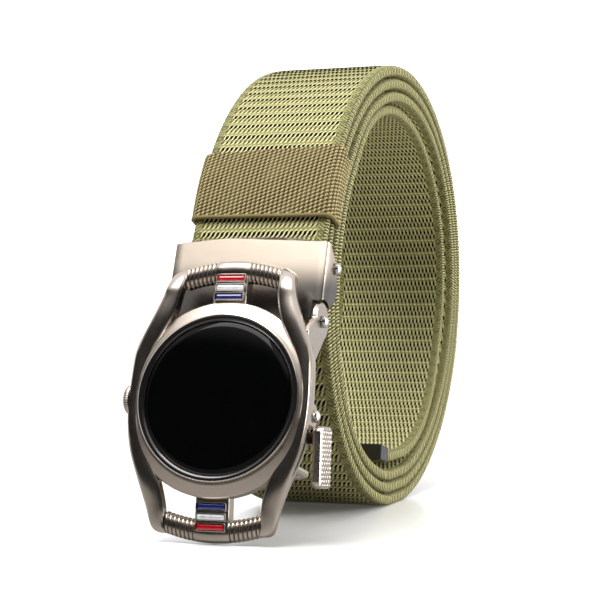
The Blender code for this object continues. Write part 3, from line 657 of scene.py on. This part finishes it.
def makeKeeper(finish):
    depth = pitchAt(keeperAngle(0.5)) * (keeper["layers"] - 1) + 2 * webbing["halfThickness"]
    wall, corner = keeper["wall"], keeper["corner"]
    reach = keeper["clear"] + wall
    half = webbing["halfWidth"] + reach
    halfDeep = depth / 2 + reach
    dense = loopOutline(half, halfDeep, corner, keeper["stepAround"])
    around = [0.0]
    for p, q in zip(dense, dense[1:]):
        around.append(around[-1] + math.dist(p, q))
    stops = [rollPoint(keeperAngle(i / 20), 0) for i in range(21)]
    length = sum(math.dist(p, q) for p, q in zip(stops, stops[1:]))
    rings = []
    marks = []

    def ringAt(share, inset, stitched=False):
        ring = []
        for (x, d), place in zip(dense, around):
            degrees = keeperAngle(share * (1 + keeper["skew"] * x / half))
            outer = Vector(rollPoint(degrees, -reach))
            inner = Vector(rollPoint(degrees, depth + reach))
            normal = Vector((beyond(x, half - corner), beyond(d, halfDeep - corner)))
            if normal.length < 1e-6:
                normal = Vector((x, 0)) if abs(x) > half - 1e-3 else Vector((0, d))
            normal.normalize()
            height = stitchHeight(place, share * length) if stitched else keeper["plainMark"]
            push = (height - 0.7) * keeper["push"] - inset if stitched else -inset
            spot = (outer + inner) / 2 + (outer - inner).normalized() * (d + normal.y * push)
            ring.append((x + normal.x * push, spot.x, spot.y))
            marks.append((place, share * length, height))
        rings.append(ring)

    lip = keeper["lip"] / length
    # the inner face, the rolled lower lip, the stitched outside and the upper lip
    for share in (0.98, 0.5, 0.02):
        ringAt(share, wall - 0.02)
    for turn in range(0, 181, 30):
        a = math.radians(turn)
        ringAt(0.45 * lip * (1 - math.sin(a)) - 0.012, wall / 2 + (wall / 2 + 0.08) * math.cos(a) - 0.02)
    ringAt(lip * 0.9, -0.08)
    ringCount = int(length / keeper["stepAlong"])
    for i in range(ringCount + 1):
        ringAt(lip * 1.15 + (0.985 - lip * 1.15) * i / ringCount, 0.0, True)
    for share, inset in ((0.995, 0.12), (1.0, 0.55), (0.995, wall - 0.1)):
        ringAt(share, inset)
    points, faces = lofted(rings, capEnds=False)
    faces += closingFaces(len(rings), len(dense))
    piece = newPiece("elasticKeeper", (points, faces), finish, "belt", 80, marks=("knitAt", marks))
    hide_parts("keeper")
    print("keeper made")


def metalMaterial(name, colour, roughness, grain=(1.0, 1.0, 1.0), scale=900.0, depth=0.0012, spread=0.05):
    # Plated metal with a fine blasted or brushed grain; the grain's stretch sets which
    made, tree, shader = newMaterial(name)
    coordinates = inObject(tree)
    fine = noise(stretched(coordinates, grain), scale, 3.0)
    broad = noise(coordinates, 60.0, 2.0)
    darker = tuple(c * 0.93 for c in colour)
    wire(mixed(ranged(broad, 0.3, 0.7, 0.0, 1.0), colour, darker), shader.inputs["Base Color"])
    rough = ranged(fine, 0.3, 0.7, roughness - spread / 2, roughness + spread / 2)
    wire(rough, shader.inputs["Roughness"])
    bumped(shader, fine, depth * mm, 0.6)
    shader.inputs["Metallic"].default_value = 1.0
    return made


def enamelMaterial(name, colour, roughness=0.12):
    made, tree, shader = newMaterial(name)
    broad = noise(inObject(tree), 700.0, 2.0)
    darker = tuple(c * 0.8 for c in colour)
    wire(mixed(ranged(broad, 0.35, 0.65, 0.0, 1.0), colour, darker), shader.inputs["Base Color"])
    bumped(shader, broad, 0.02 * mm, 0.5)
    shader.inputs["Roughness"].default_value = roughness
    shader.inputs["Coat Weight"].default_value = 0.6
    shader.inputs["Coat Roughness"].default_value = 0.05
    return made


# painted shade on the clamp plate: pale above 66 mm height, dark below 58 mm
paintedPlateShade = {"pale": (0.52, 0.44, 0.36), "dark": (0.08, 0.072, 0.065), "from": 66.0, "to": 58.0}


def plateMaterial():
    # Pale plating with painted shade: it turns dark towards the buckle's shade, standing in for the buckle's
    # dark back mirrored in the lower plate, by height in mm
    made = metalMaterial("clampPlatingWithPaintedShade", paintedPlateShade["pale"], 0.30, (1.0, 4.0, 4.0), 500.0, 0.0008)
    tree = made.node_tree
    # painted shade, darker lower down
    shade = ranged(axesOf(inObject(tree))[2], paintedPlateShade["to"] * mm, paintedPlateShade["from"] * mm, 1.0, 0.0)
    wire(mixed(shade, paintedPlateShade["pale"], paintedPlateShade["dark"]), tree.nodes["Principled BSDF"].inputs["Base Color"])
    return made


satin = metalMaterial("satinGunmetal", (0.48, 0.42, 0.365), 0.215, depth=0.0004, spread=0.015)
brushedFlange = metalMaterial("brushedFlange", (0.48, 0.415, 0.36), 0.34, depth=0.0004)
plateMetal = plateMaterial()
chrome = metalMaterial("polishedChrome", (0.50, 0.48, 0.46), 0.14, depth=0.0006, spread=0.04)
rimMetal = metalMaterial("polishedRim", (0.72, 0.67, 0.61), 0.15, depth=0.0006, spread=0.04)
darkMetal = metalMaterial("darkTipMetal", (0.06, 0.06, 0.062), 0.35, depth=0.001)
knurled = metalMaterial("brightKnurl", (0.44, 0.39, 0.34), 0.26, depth=0.001)
blackRing = enamelMaterial("blackRing", (0.010, 0.009, 0.009), 0.2)
redEnamel = enamelMaterial("redEnamel", (0.60, 0.003, 0.012))
whiteEnamel = enamelMaterial("whiteEnamel", (0.92, 0.95, 0.98))
blueEnamel = enamelMaterial("blueEnamel", (0.010, 0.018, 0.17))


def glassMaterial():
    made, tree, shader = newMaterial("blackWatchGlass")
    smudge = noise(inObject(tree), 130.0, 4.0)
    wire(ranged(smudge, 0.45, 0.75, 0.05, 0.11), shader.inputs["Roughness"])
    wire(mixed(smudge, (0.0008, 0.0012, 0.001), (0.0016, 0.002, 0.0018)), shader.inputs["Base Color"])
    shader.inputs["Specular IOR Level"].default_value = 0.12
    return made


glass = glassMaterial()


def dressNode(name, finish, angle=35):
    mesh = nodes[name].data
    mesh.materials.clear()
    mesh.materials.append(finish)
    mesh.shade_smooth()
    mesh.set_sharp_from_angle(angle=math.radians(angle))


def cast(name, shape, sharpAngle=35):
    return newPiece(name, shape, satin, "buckle", sharpAngle)


rails = {
    # height, outer edge, inner edge, front, back
    "sections": (
        (31.9, 12.9, 11.2, -5.0, -7.0),
        (31.3, 13.9, 10.9, -4.2, -7.2),
        (30.3, 15.2, 11.5, -3.2, -7.2),
        (28.4, 15.6, 11.8, -1.9, -6.4),
        (26.5, 16.1, 12.0, -1.2, -4.8),
        (24.0, 16.7, 12.3, -1.0, -4.4),
        (19.1, 18.4, 13.5, -0.7, -5.0),
        (14.5, 20.3, 15.6, -0.8, -5.4),
        (10.5, 21.6, 17.6, -1.0, -5.7),
        (6.0, 22.0, 18.6, -1.1, -5.8),
        (0.0, 22.2, 18.9, -1.2, -5.8),
        (-6.0, 21.9, 18.6, -1.2, -5.7),
        (-12.5, 20.7, 16.1, -1.5, -5.6),
        (-19.3, 18.3, 13.3, -1.8, -5.6),
        (-25.0, 16.4, 11.9, -2.9, -6.2),
        (-28.6, 15.4, 11.9, -3.7, -7.0),
        (-30.2, 14.5, 11.6, -4.3, -7.6),
        (-30.8, 13.4, 11.4, -5.0, -7.2),
    ),
    # share across the rail from inside to outside, and how far the face falls away there
    "face": ((0.12, 0.17), (0.22, 0.08), (0.34, 0.02), (0.46, 0.0), (0.60, 0.04), (0.74, 0.13), (0.86, 0.26)),
    "innerChamfer": 0.28, "outerChamfer": 0.42, "leftWider": 0.6,
}


def railRing(height, outer, inner, front, back, side):
    # the rail's section: a rounded face between a fine inner and a crisp outer chamfer
    wide = outer - inner
    small = min(1.0, wide / 3.5, (front - back) / 3.0)
    fine, crisp = rails["innerChamfer"] * small, rails["outerChamfer"] * small
    ring = [(inner, front - 0.3 * small - fine), (inner + fine, front - 0.3 * small)]
    ring += [(inner + share * wide, front - fall * small) for share, fall in rails["face"]]
    edge = front - 0.42 * small
    ring += [(outer - crisp, edge), (outer - 0.04, edge - crisp), (outer, edge - crisp - 0.15)]
    ring += [(outer - 0.05, (edge + back) / 2), (outer - 0.25, back + 0.5 * small)]
    ring += [(outer - 0.8 * small, back)]
    ring += [(inner + 0.8 * small, back), (inner, back + 0.6 * small), (inner - 0.02, (front + back) / 2)]
    return [(side * x, -out, height) for x, out in ring]


def makeRail(name, side):
    rings = []
    for height, outer, inner, front, back in catmull(rails["sections"], 5):
        wider = rails["leftWider"] * (1 - smoothStep((abs(height) - 10) / 20)) if side < 0 else 0.0
        rings.append(railRing(height, outer + wider, inner + wider / 2, front, back, side))
    return cast(name, lofted(rings), 26)


bars = {
    "halfLength": 12.6, "halfHeight": 2.6, "halfDepth": 2.3, "arch": 2.1,
    "ribFrom": 4.5, "ribTo": 11.9, "ribs": 7, "ribDepth": 0.5, "perRib": 8,
    "top": (29.0, -5.05), "foot": (-28.0, -6.8),
}


def barStations():
    # (x, how full the section is) along a bar
    pitch = (bars["ribTo"] - bars["ribFrom"]) / bars["ribs"]
    right = [(0.0, 1.0), (2.5, 1.0), (bars["ribFrom"] - 0.35, 1.0), (bars["ribFrom"] - 0.1, 0.8)]
    for i in range(bars["ribs"]):
        for j in range(bars["perRib"]):
            share = j / bars["perRib"]
            full = math.sqrt(max(0.0, 1 - (2 * share - 1) ** 2)) * 1.15 - 0.15
            right.append((bars["ribFrom"] + pitch * (i + share), full))
    right += [(bars["ribTo"], -0.15), (bars["halfLength"] + 0.6, -0.15)]
    return [(-x, s) for x, s in reversed(right[1:])] + right


def makeBar(name, middle, side):
    rings = []
    for x, full in barStations():
        arch = side * bars["arch"] * (1 - (x / bars["halfLength"]) ** 2)
        grow = bars["ribDepth"] * (full - 1)
        ring = []
        for i in range(24):
            turn = 2 * math.pi * i / 24
            a = math.copysign(abs(math.cos(turn)) ** 0.8, math.cos(turn)) * (bars["halfHeight"] + grow)
            b = math.copysign(abs(math.sin(turn)) ** 0.8, math.sin(turn)) * (bars["halfDepth"] + grow)
            ring.append((x, -(middle[1] + b), middle[0] + arch + a))
        rings.append(ring)
    return cast(name, lofted(rings), 60)


bridges = {
    "halfWidth": 4.1, "depth": 3.6,
    "top": ((21.6, -2.2), (31.0, -3.05)), "foot": ((-21.6, -3.4), (-30.6, -4.7)),
}


def makeBridge(name, ends):
    (near, nearOut), (far, farOut) = ends
    deep = bridges["depth"]
    outline = [(-nearOut, near), (-farOut, far), (deep - farOut, far), (deep - nearOut, near)]
    return bevelled(cast(name, plate(outline, -bridges["halfWidth"], bridges["halfWidth"])), 0.3)


flange = {
    "profile": (
        (19.0, -0.85), (20.2, -0.9), (20.5, -1.0), (22.85, -2.05),
        (23.1, -2.4), (23.0, -5.3), (22.6, -5.6), (19.0, -5.6),
    ),
    "halfWidth": 20.9,
}


def makeFlange():
    shape = turnedRing(flange["profile"], 160, flange["halfWidth"])
    return newPiece("watchFlange", shape, brushedFlange, "buckle", 28)


arms = {
    "inner": 18.3, "outer": 19.6, "earRadius": 4.6,
    "front": ((4.0, 17.0), (4.0, 8.2), (8.3, 7.3), (10.0, 10.0)),
}


def hingeInBuckle():
    y = buckleTurn["hinge"][0] - buckleTurn["middle"][0]
    z = buckleTurn["hinge"][1] - buckleTurn["middle"][1]
    lean = math.radians(buckleTurn["lean"])
    return y * math.sin(lean) + z * math.cos(lean), -y * math.cos(lean) + z * math.sin(lean)


def makeArm(name, side):
    height, out = hingeInBuckle()
    outline = arc((-out, height), arms["earRadius"], -60, 180, 28) + list(arms["front"])
    edges = sorted((side * arms["inner"], side * arms["outer"]))
    return bevelled(cast(name, plate(outline, *edges)), 0.28)


lever = {
    "pin": (-2.7, -7.3), "lugRadius": 2.9, "lug": (19.6, 21.5),
    "tabFrom": 22.5, "tabThickness": 2.2, "tabHeight": 14.0, "tabDepth": 8.2,
    "tabMiddle": (-11.8, -9.4), "tabTurn": 9.0, "corner": 1.6,
    "arm": ((16.95, 19.15), (0.3, 1.9), (-6.6, -0.2)),
    "shelf": ((17.0, 23.0), (0.4, 1.8), (-6.5, -3.6)),
    "pawl": ((-14.5, 19.1), (0.9, 2.1), (0.4, 6.6)),
    "tooth": ((1.9, 6.4), (3.6, 6.4), (1.9, 4.4)), "toothHalf": 12.0,
    "hubRadius": 2.0, "knurlRows": 14, "knurlColumns": 5, "knurlDepth": 0.34, "grid": (41, 99),
}


def makeLug():
    place = (-lever["pin"][1], lever["pin"][0])
    outline = arc(place, lever["lugRadius"], 0, 352.5, 47)
    return bevelled(cast("leverLug", plate(outline, *lever["lug"])), 0.3)


def makeFrame():
    made = [makeRail("rightRail", 1), makeRail("leftRail", -1)]
    made += [makeBar("topRibbedBar", bars["top"], 1), makeBar("footRibbedBar", bars["foot"], -1)]
    made += [makeBridge("topBridge", bridges["top"]), makeBridge("footBridge", bridges["foot"])]
    made += [makeFlange(), makeArm("rightHingeArm", 1), makeArm("leftHingeArm", -1), makeLug()]
    for piece in made:
        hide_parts("buckle_frame")
    print("frame made")


stripes = {
    "size": (7.2, 0.5, 1.8), "pitch": 2.3, "rim": 0.28, "gap": 0.3,
    "enamels": {"red_enamel": redEnamel, "white_enamel": whiteEnamel, "blue_enamel": blueEnamel},
    "top": {"middle": 26.6, "slots": ("red_enamel", "white_enamel", "blue_enamel")},
    "foot": {"middle": -27.1, "slots": ("blue_enamel", "white_enamel", "red_enamel")},
}


def makeStripes(place):
    (near, nearOut), (far, farOut) = bridges[place]
    slope = (farOut - nearOut) / (far - near)
    halfX, halfY, halfZ = (size / 2 for size in stripes["size"])
    rim = stripes["rim"]
    tilt = Matrix.Rotation(slope, 4, "X")
    rims = []
    for i, slotName in enumerate(stripes[place]["slots"]):
        height = stripes[place]["middle"] + (1 - i) * stripes["pitch"]
        face = nearOut + slope * (height - near) + stripes["gap"]
        spot = Matrix.Translation((0, (-face - halfY) * mm, height * mm)) @ tilt
        # enamel: a shallow pillow that fills the rim
        rings = []
        for inset, y in (
            (rim, halfY - 0.05), (rim, -halfY + 0.2), (rim + 0.18, -halfY + 0.08), (rim + 0.6, -halfY + 0.03),
        ):
            corner = max(0.08, 0.3 - inset / 3)
            rings.append([(x, y, z) for x, z in roundedBox(halfX - inset, halfZ - inset, corner)])
        finish = stripes["enamels"][slotName]
        piece = newPiece(f"{place}Enamel{i + 1}", lofted(rings), finish, "buckle", 60, spot)
        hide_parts(f"{place}_stripe_{i + 1}")
        # its rim, open at the back
        rings = []
        for inset, y in (
            (0.0, halfY + 0.25), (0.0, -halfY - 0.05), (0.08, -halfY - 0.14),
            (rim - 0.1, -halfY - 0.14), (rim, -halfY + 0.1), (rim, halfY + 0.25),
        ):
            box = roundedBox(halfX + 0.1 - inset, halfZ + 0.1 - inset, 0.35 - inset * 0.6)
            rings.append([(x, y, z) for x, z in box])
        points, faces = lofted(rings, capEnds=False)
        faces += closingFaces(len(rings), len(rings[0]))
        rims.append(([tuple(spot @ (Vector(p) * mm) / mm) for p in points], faces))
    newPiece(f"{place}StripeRims", joined(rims), rimMetal, "buckle", 40)


watch = {
    "case": (
        (0.0, -2.5), (19.42, -2.5), (19.42, -0.45), (19.46, -0.14), (19.54, -0.06), (19.64, -0.12),
        (19.7, -0.35), (19.7, -1.0), (19.2, -4.2), (18.8, -4.6), (16.0, -4.6), (15.4, -6.6), (0.0, -6.6),
    ),
    "ring": ((18.2, -0.7), (18.5, -0.5), (19.05, -0.32), (19.39, -0.42), (19.39, -2.4), (18.2, -2.4)),
    "innerRim": ((18.0, -0.58), (18.04, -0.45), (18.14, -0.45), (18.19, -0.62), (18.19, -2.3), (18.0, -2.3)),
    "glass": (
        (0.0, 0.42), (4.0, 0.40), (8.0, 0.30), (11.5, 0.10), (14.5, -0.16), (16.5, -0.42),
        (17.7, -0.6), (17.99, -0.9), (17.99, -2.3), (0.0, -2.3),
    ),
}


def makeWatch():
    for name, key, finish, slotName, node, angle in (
        ("watchCase", "case", rimMetal, "satin_metal", "watch_case", 40),
        ("blackBezelRing", "ring", blackRing, "black_ring", "watch_bezel", 50),
        ("innerBrightRim", "innerRim", rimMetal, "chrome", None, 60),
        ("watchGlass", "glass", glass, "black_glass", "watch_glass", 40),
    ):
        piece = newPiece(name, turnedRing(watch[key], 160), finish, "buckle", angle)
        if node:
            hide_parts(node)
    print("watch made")


crown = {"from": 22.4, "to": 24.1, "radius": 3.4, "place": (4.2, -0.3), "teeth": 44, "tooth": 0.16}


def makeCrown():
    start, end, teeth = crown["from"], crown["to"], crown["teeth"]
    rings = []
    # place along the crown, share of the radius, share of the teeth's depth
    for x, share, toothed in (
        (start, 0.80, 0), (start + 0.25, 0.97, 0.3), (start + 0.5, 1.0, 1), (end - 0.6, 1.0, 1),
        (end - 0.4, 0.95, 0.6), (end - 0.1, 0.82, 0), (end, 0.6, 0),
    ):
        ring = []
        for i in range(teeth * 4):
            turn = 2 * math.pi * i / (teeth * 4)
            radius = crown["radius"] * share + toothed * crown["tooth"] * (math.cos(turn * teeth) - 1) / 2
            y = crown["place"][0] + radius * math.cos(turn)
            z = crown["place"][1] + radius * math.sin(turn)
            ring.append((-x, y, z))
        rings.append(ring)
    piece = newPiece("knurledCrown", lofted(rings), knurled, "buckle", 50)
    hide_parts("crown")
    print("crown made")


def boxBetween(stretches):
    (x0, x1), (y0, y1), (z0, z1) = stretches
    return plate([(y0, z0), (y1, z0), (y1, z1), (y0, z1)], x0, x1)


def leverShift(points):
    return [(x, y - lever["pin"][1], z + lever["pin"][0]) for x, y, z in points]


def makeTab():
    # Rounded tab whose outer face is cut into small staggered scales
    halfY, halfZ = lever["tabDepth"] / 2, lever["tabHeight"] / 2
    corner = lever["corner"]
    inner = lever["tabFrom"]
    outer = inner + lever["tabThickness"]
    across, up = lever["grid"]
    points = []
    for j in range(up + 1):
        z = -halfZ + 2 * halfZ * j / up
        over = max(0.0, abs(z) - (halfZ - corner))
        reach = halfY - corner + math.sqrt(max(0.0, corner**2 - over**2))
        for i in range(across + 1):
            y = -reach + 2 * reach * i / across
            column = (y / (2 * halfY) + 0.5) * lever["knurlColumns"]
            line = (z / (2 * halfZ) + 0.5) * lever["knurlRows"]
            shifted = column + (0.5 if math.floor(line) % 2 else 0.0)
            a = abs(shifted - math.floor(shifted) - 0.5) / 0.5
            b = line - math.floor(line)
            scale = max(0.0, 1 - a**2.4) * (0.25 + 0.75 * b) * (1 - smoothStep((b - 0.82) / 0.18))
            margin = min(smoothStep((reach - abs(y)) / 0.7), smoothStep((halfZ - abs(z)) / 0.7))
            x = outer - 0.35 * (1 - margin) + lever["knurlDepth"] * (scale - 0.6) * margin
            points.append((x, y, z))
    width = across + 1
    faces = []
    for j in range(up):
        for i in range(across):
            a = j * width + i
            faces.append((a, a + 1, a + width + 1, a + width))
    rim = [*range(width)] + [j * width + across for j in range(1, up + 1)]
    rim += [up * width + i for i in reversed(range(across))] + [j * width for j in reversed(range(1, up))]
    previous = rim
    for x, grow in ((outer - 0.75, 0.12), (inner + 0.35, 0.12), (inner, -0.25)):
        ring = []
        for index in rim:
            _, y, z = points[index]
            size = math.hypot(y / halfY, z / halfZ)
            ring.append(len(points))
            factor = 1 + grow / math.hypot(halfY, halfZ) / size
            points.append((x, y * factor, z * factor))
        for k in range(len(rim)):
            m = (k + 1) % len(rim)
            faces.append((previous[k], ring[k], ring[m], previous[m]))
        previous = ring
    faces.append(tuple(reversed(previous)))
    turn = math.radians(lever["tabTurn"])
    cosine, sine = math.cos(turn), math.sin(turn)
    high, out = lever["tabMiddle"]
    turned = [(x, -out + y * cosine - z * sine, high + y * sine + z * cosine) for x, y, z in points]
    return newPiece("knurledTab", (turned, faces), knurled, "lever", 50)


def makeLever():
    tab = makeTab()
    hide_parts("release_lever")
    parts = [boxBetween(lever[key]) for key in ("arm", "shelf", "pawl")]
    parts.append(plate(lever["tooth"], -lever["toothHalf"], lever["toothHalf"]))
    parts.append(plate(arc((0, 0), lever["hubRadius"], 0, 345, 23), lever["arm"][0][0], lever["arm"][0][1]))
    points, faces = joined(parts)
    body = bevelled(newPiece("leverPlates", (leverShift(points), faces), satin, "lever"), 0.25)
    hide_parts("release_lever")
    print("lever made")


clamp = {
    "halfWidth": 19.85, "sheet": 1.0, "top": (-57.8, 69.7), "foot": (-64.7, 51.6), "arch": 1.5, "bend": 0.7,
    "flangeRear": ((-56.6, 69.4), (-53.2, 65.6), (-51.9, 61.9), (-51.6, 58.4), (-53.6, 55.2)),
    "earSweep": 5.3, "notchInner": 17.3, "notchOuter": 30, "rows": 40, "columns": 24,
    "knuckleRadius": 2.2, "knuckleHalf": 16.9,
}


def makeClamp():
    # A folded sheet: arched plate in front, a flange on each side, a notch round each hinge ear
    top, foot = Vector(clamp["top"]), Vector(clamp["foot"])
    drop = (foot - top).length
    down = (foot - top).normalized()
    inwards = Vector((-down.y, down.x))
    half, bend, sheet = clamp["halfWidth"], clamp["bend"], clamp["sheet"]
    rows, columns = clamp["rows"], clamp["columns"]
    hinge = buckleTurn["hinge"]

    def rearAt(distance):
        # How deep the flange reaches at this distance down the plate
        rear = []
        for y, z in (clamp["top"], *clamp["flangeRear"], clamp["foot"]):
            offset = Vector((y, z)) - top
            rear.append((offset.dot(down), offset.dot(inwards)))
        best = 0.0
        for (d0, w0), (d1, w1) in zip(rear, rear[1:]):
            low, high = min(d0, d1), max(d0, d1)
            if low - 1e-9 <= distance <= high + 1e-9 and high > low:
                best = max(best, w0 + (w1 - w0) * (distance - d0) / (d1 - d0))
        return best

    rings = []
    for j in range(rows + 1):
        share = j / rows
        front = []
        for i in range(columns + 1):
            x = -half + bend + 2 * (half - bend) * i / columns
            start = -clamp["arch"] * (1 - (x / half) ** 2)
            front.append((x, start + (drop - start) * share, 0.0))
        distance = drop * share
        deep = max(rearAt(distance), bend + 0.3)
        start = front[0][1]
        left = [(-half, distance, w) for w in (deep, deep * 0.6 + 0.4 * bend, bend)]
        left += [(-half + bend * 0.3, (distance + start) / 2, bend * 0.3)]
        right = [(-x, d, w) for x, d, w in reversed(left)]
        outside = left + front + right
        inside = []
        for x, d, w in reversed(outside):
            inside.append((max(-half + sheet, min(half - sheet, x)), d, max(w, sheet)))
        ring = []
        for x, d, w in outside + inside:
            spot = top + down * d + inwards * w
            ring.append((x, spot.x, spot.y))
        rings.append(ring)
    piece = newPiece("clampPlate", lofted(rings), plateMetal, "belt", 40)
    for side in (-1, 1):
        reach = sorted((side * clamp["notchInner"], side * clamp["notchOuter"]))
        cutterPoints, cutterFaces = plate(arc(hinge, clamp["earSweep"], 0, 352.5, 47), *reach)
        mesh = bpy.data.meshes.new("notchCutter")
        mesh.from_pydata(placed(cutterPoints, beltFrame), [], cutterFaces)
        cutter = cleaned(addObject("notchCutter", mesh))
        cut = piece.modifiers.new("notch", "BOOLEAN")
        cut.operation = "DIFFERENCE"
        cut.solver = "EXACT"
        cut.object = cutter
        bpy.context.view_layer.update()
        graph = bpy.context.evaluated_depsgraph_get()
        result = bpy.data.meshes.new_from_object(piece.evaluated_get(graph))
        piece.modifiers.clear()
        piece.data = result
        bpy.data.objects.remove(cutter)
    bevelled(piece, 0.22, 2, 40)
    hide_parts("clamp_cover")
    rings = []
    end = clamp["knuckleHalf"]
    for x, share in (
        (-end, 0.9), (0.2 - end, 1.0), (-8, 1.0), (0, 1.0), (8, 1.0), (end - 0.2, 1.0), (end, 0.9),
    ):
        rings.append([(x, y, z) for y, z in arc(hinge, clamp["knuckleRadius"] * share, 0, 348.75, 31)])
    tube = newPiece("clampKnuckle", lofted(rings), satin, "belt", 40)
    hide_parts("clamp_cover")
    print("clamp made")


makeStrap(webbingMaterial())
makeKeeper(keeperMaterial())
makeFrame()
makeStripes("top")
makeStripes("foot")
makeWatch()
makeCrown()
makeLever()
makeClamp()
for nodeName in ("clamp_jaw", "hinge_pin", "lever_pin"):
    dressNode(nodeName, chrome)
dressNode("strap_guide", satin)
dressNode("strap_tip", darkMetal, angle=25)


studio = {
    "floor": 3.0,
    "floorSeen": (0.93, 0.93, 0.925), "floorBounce": (0.36, 0.35, 0.335), "floorGlow": 0.05,
    "skyTop": 1.4, "skyHighFront": 1.5, "skySide": 0.95, "skyFront": 0.013, "skySeen": 1.6,
    "darkBelow": 0.56, "brightAbove": 0.72,
    "camera": {
        "azimuth": 0.314159265, "elevation": -0.0179556956, "distance": 449.9, "middle": 60.0,
        "yaw": 0.0135941, "pitch": 0.0097538, "roll": -0.000388, "lens": 96.8,
    },
    "lights": {  # place, what it looks at, size, power
        "softTop": ((-0.16, -0.4, 0.95), (0, 0, 0.05), 0.65, 10.5),
        "rightBack": ((0.75, 0.28, 0.2), (0, 0, 0.06), 0.4, 6.0),
    },
}


def makeStage():
    size = studio["floor"]
    mesh = bpy.data.meshes.new("studioFloor")
    corners = [(-size, -size, 0), (size, -size, 0), (size, size, 0), (-size, size, 0)]
    mesh.from_pydata(corners, [], [(0, 1, 2, 3)])
    floor = addObject("studioFloor", mesh)
    made, tree, shader = newMaterial("whiteFloor")
    broad = noise(inObject(tree), 3.0, 2.0)
    wire(ranged(broad, 0.3, 0.7, 0.18, 0.20), shader.inputs["Roughness"])
    seen = tree.nodes.new("ShaderNodeLightPath").outputs["Is Camera Ray"]
    wire(mixed(seen, studio["floorBounce"], studio["floorSeen"]), shader.inputs["Base Color"])
    shader.inputs["Specular IOR Level"].default_value = 0.3
    shader.inputs["Emission Color"].default_value = (1.0, 1.0, 0.98, 1.0)
    shader.inputs["Emission Strength"].default_value = studio["floorGlow"]
    mesh.materials.append(made)


def makeLights():
    for name, (place, target, size, power) in studio["lights"].items():
        light = bpy.data.lights.new(name, "AREA")
        light.shape = "RECTANGLE"
        light.size = light.size_y = size
        light.energy = power
        obj = addObject(name, light)
        obj.location = place
        obj.rotation_euler = (Vector(target) - Vector(place)).to_track_quat("-Z", "Y").to_euler()


def makeWorld():
    # White above, behind and at the sides, dark low in front, so that the satin faces have something to show
    world = bpy.data.worlds.new("studioSky")
    bpy.context.scene.world = world
    world.use_nodes = True
    tree = world.node_tree
    back = tree.nodes["Background"]
    axes = axesOf(tree.nodes.new("ShaderNodeTexCoord").outputs["Generated"])
    low = ranged(axes[2], studio["darkBelow"], studio["brightAbove"], 1.0, 0.0)
    front = ranged(axes[1], -0.4, 0.0, 1.0, 0.0)
    dark = times(low, front)
    high = ranged(axes[2], 0.2, 0.9, studio["skySide"], studio["skyTop"])
    high = larger(high, times(front, studio["skyHighFront"]))
    lit = times(high, minus(1.0, dark))
    level = plus(lit, times(dark, studio["skyFront"]))
    seen = tree.nodes.new("ShaderNodeLightPath").outputs["Is Camera Ray"]
    wire(larger(level, times(seen, studio["skySeen"])), back.inputs["Strength"])
    back.inputs["Color"].default_value = (1.0, 1.0, 1.0, 1.0)


def makeCamera():
    seen = studio["camera"]
    data = bpy.data.cameras.new("photoCamera")
    data.lens = seen["lens"]
    data.sensor_width = 36
    data.clip_start = 0.01
    data.clip_end = 50
    camera = addObject("photoCamera", data)
    azimuth, elevation = seen["azimuth"], seen["elevation"]
    yaw, pitch, turn = azimuth + seen["yaw"], elevation + seen["pitch"], seen["roll"]
    level = math.cos(elevation)
    place = Vector((math.sin(azimuth) * level, -math.cos(azimuth) * level, math.sin(elevation)))
    forward = Vector((-math.sin(yaw) * math.cos(pitch), math.cos(yaw) * math.cos(pitch), -math.sin(pitch)))
    right = Vector((math.cos(yaw), math.sin(yaw), 0))
    up = right.cross(forward)
    tiltedRight = right * math.cos(turn) + up * math.sin(turn)
    tiltedUp = up * math.cos(turn) - right * math.sin(turn)
    axes = Matrix((tiltedRight, tiltedUp, -forward)).transposed().to_4x4()
    middle = Vector((beltShift["x"], beltShift["y"], seen["middle"]))
    camera.matrix_world = Matrix.Translation((place * seen["distance"] + middle) * mm) @ axes
    bpy.context.scene.camera = camera


bpy.context.scene.view_settings.view_transform = "Standard"
makeStage()
makeWorld()
makeLights()
makeCamera()
print("stage made")
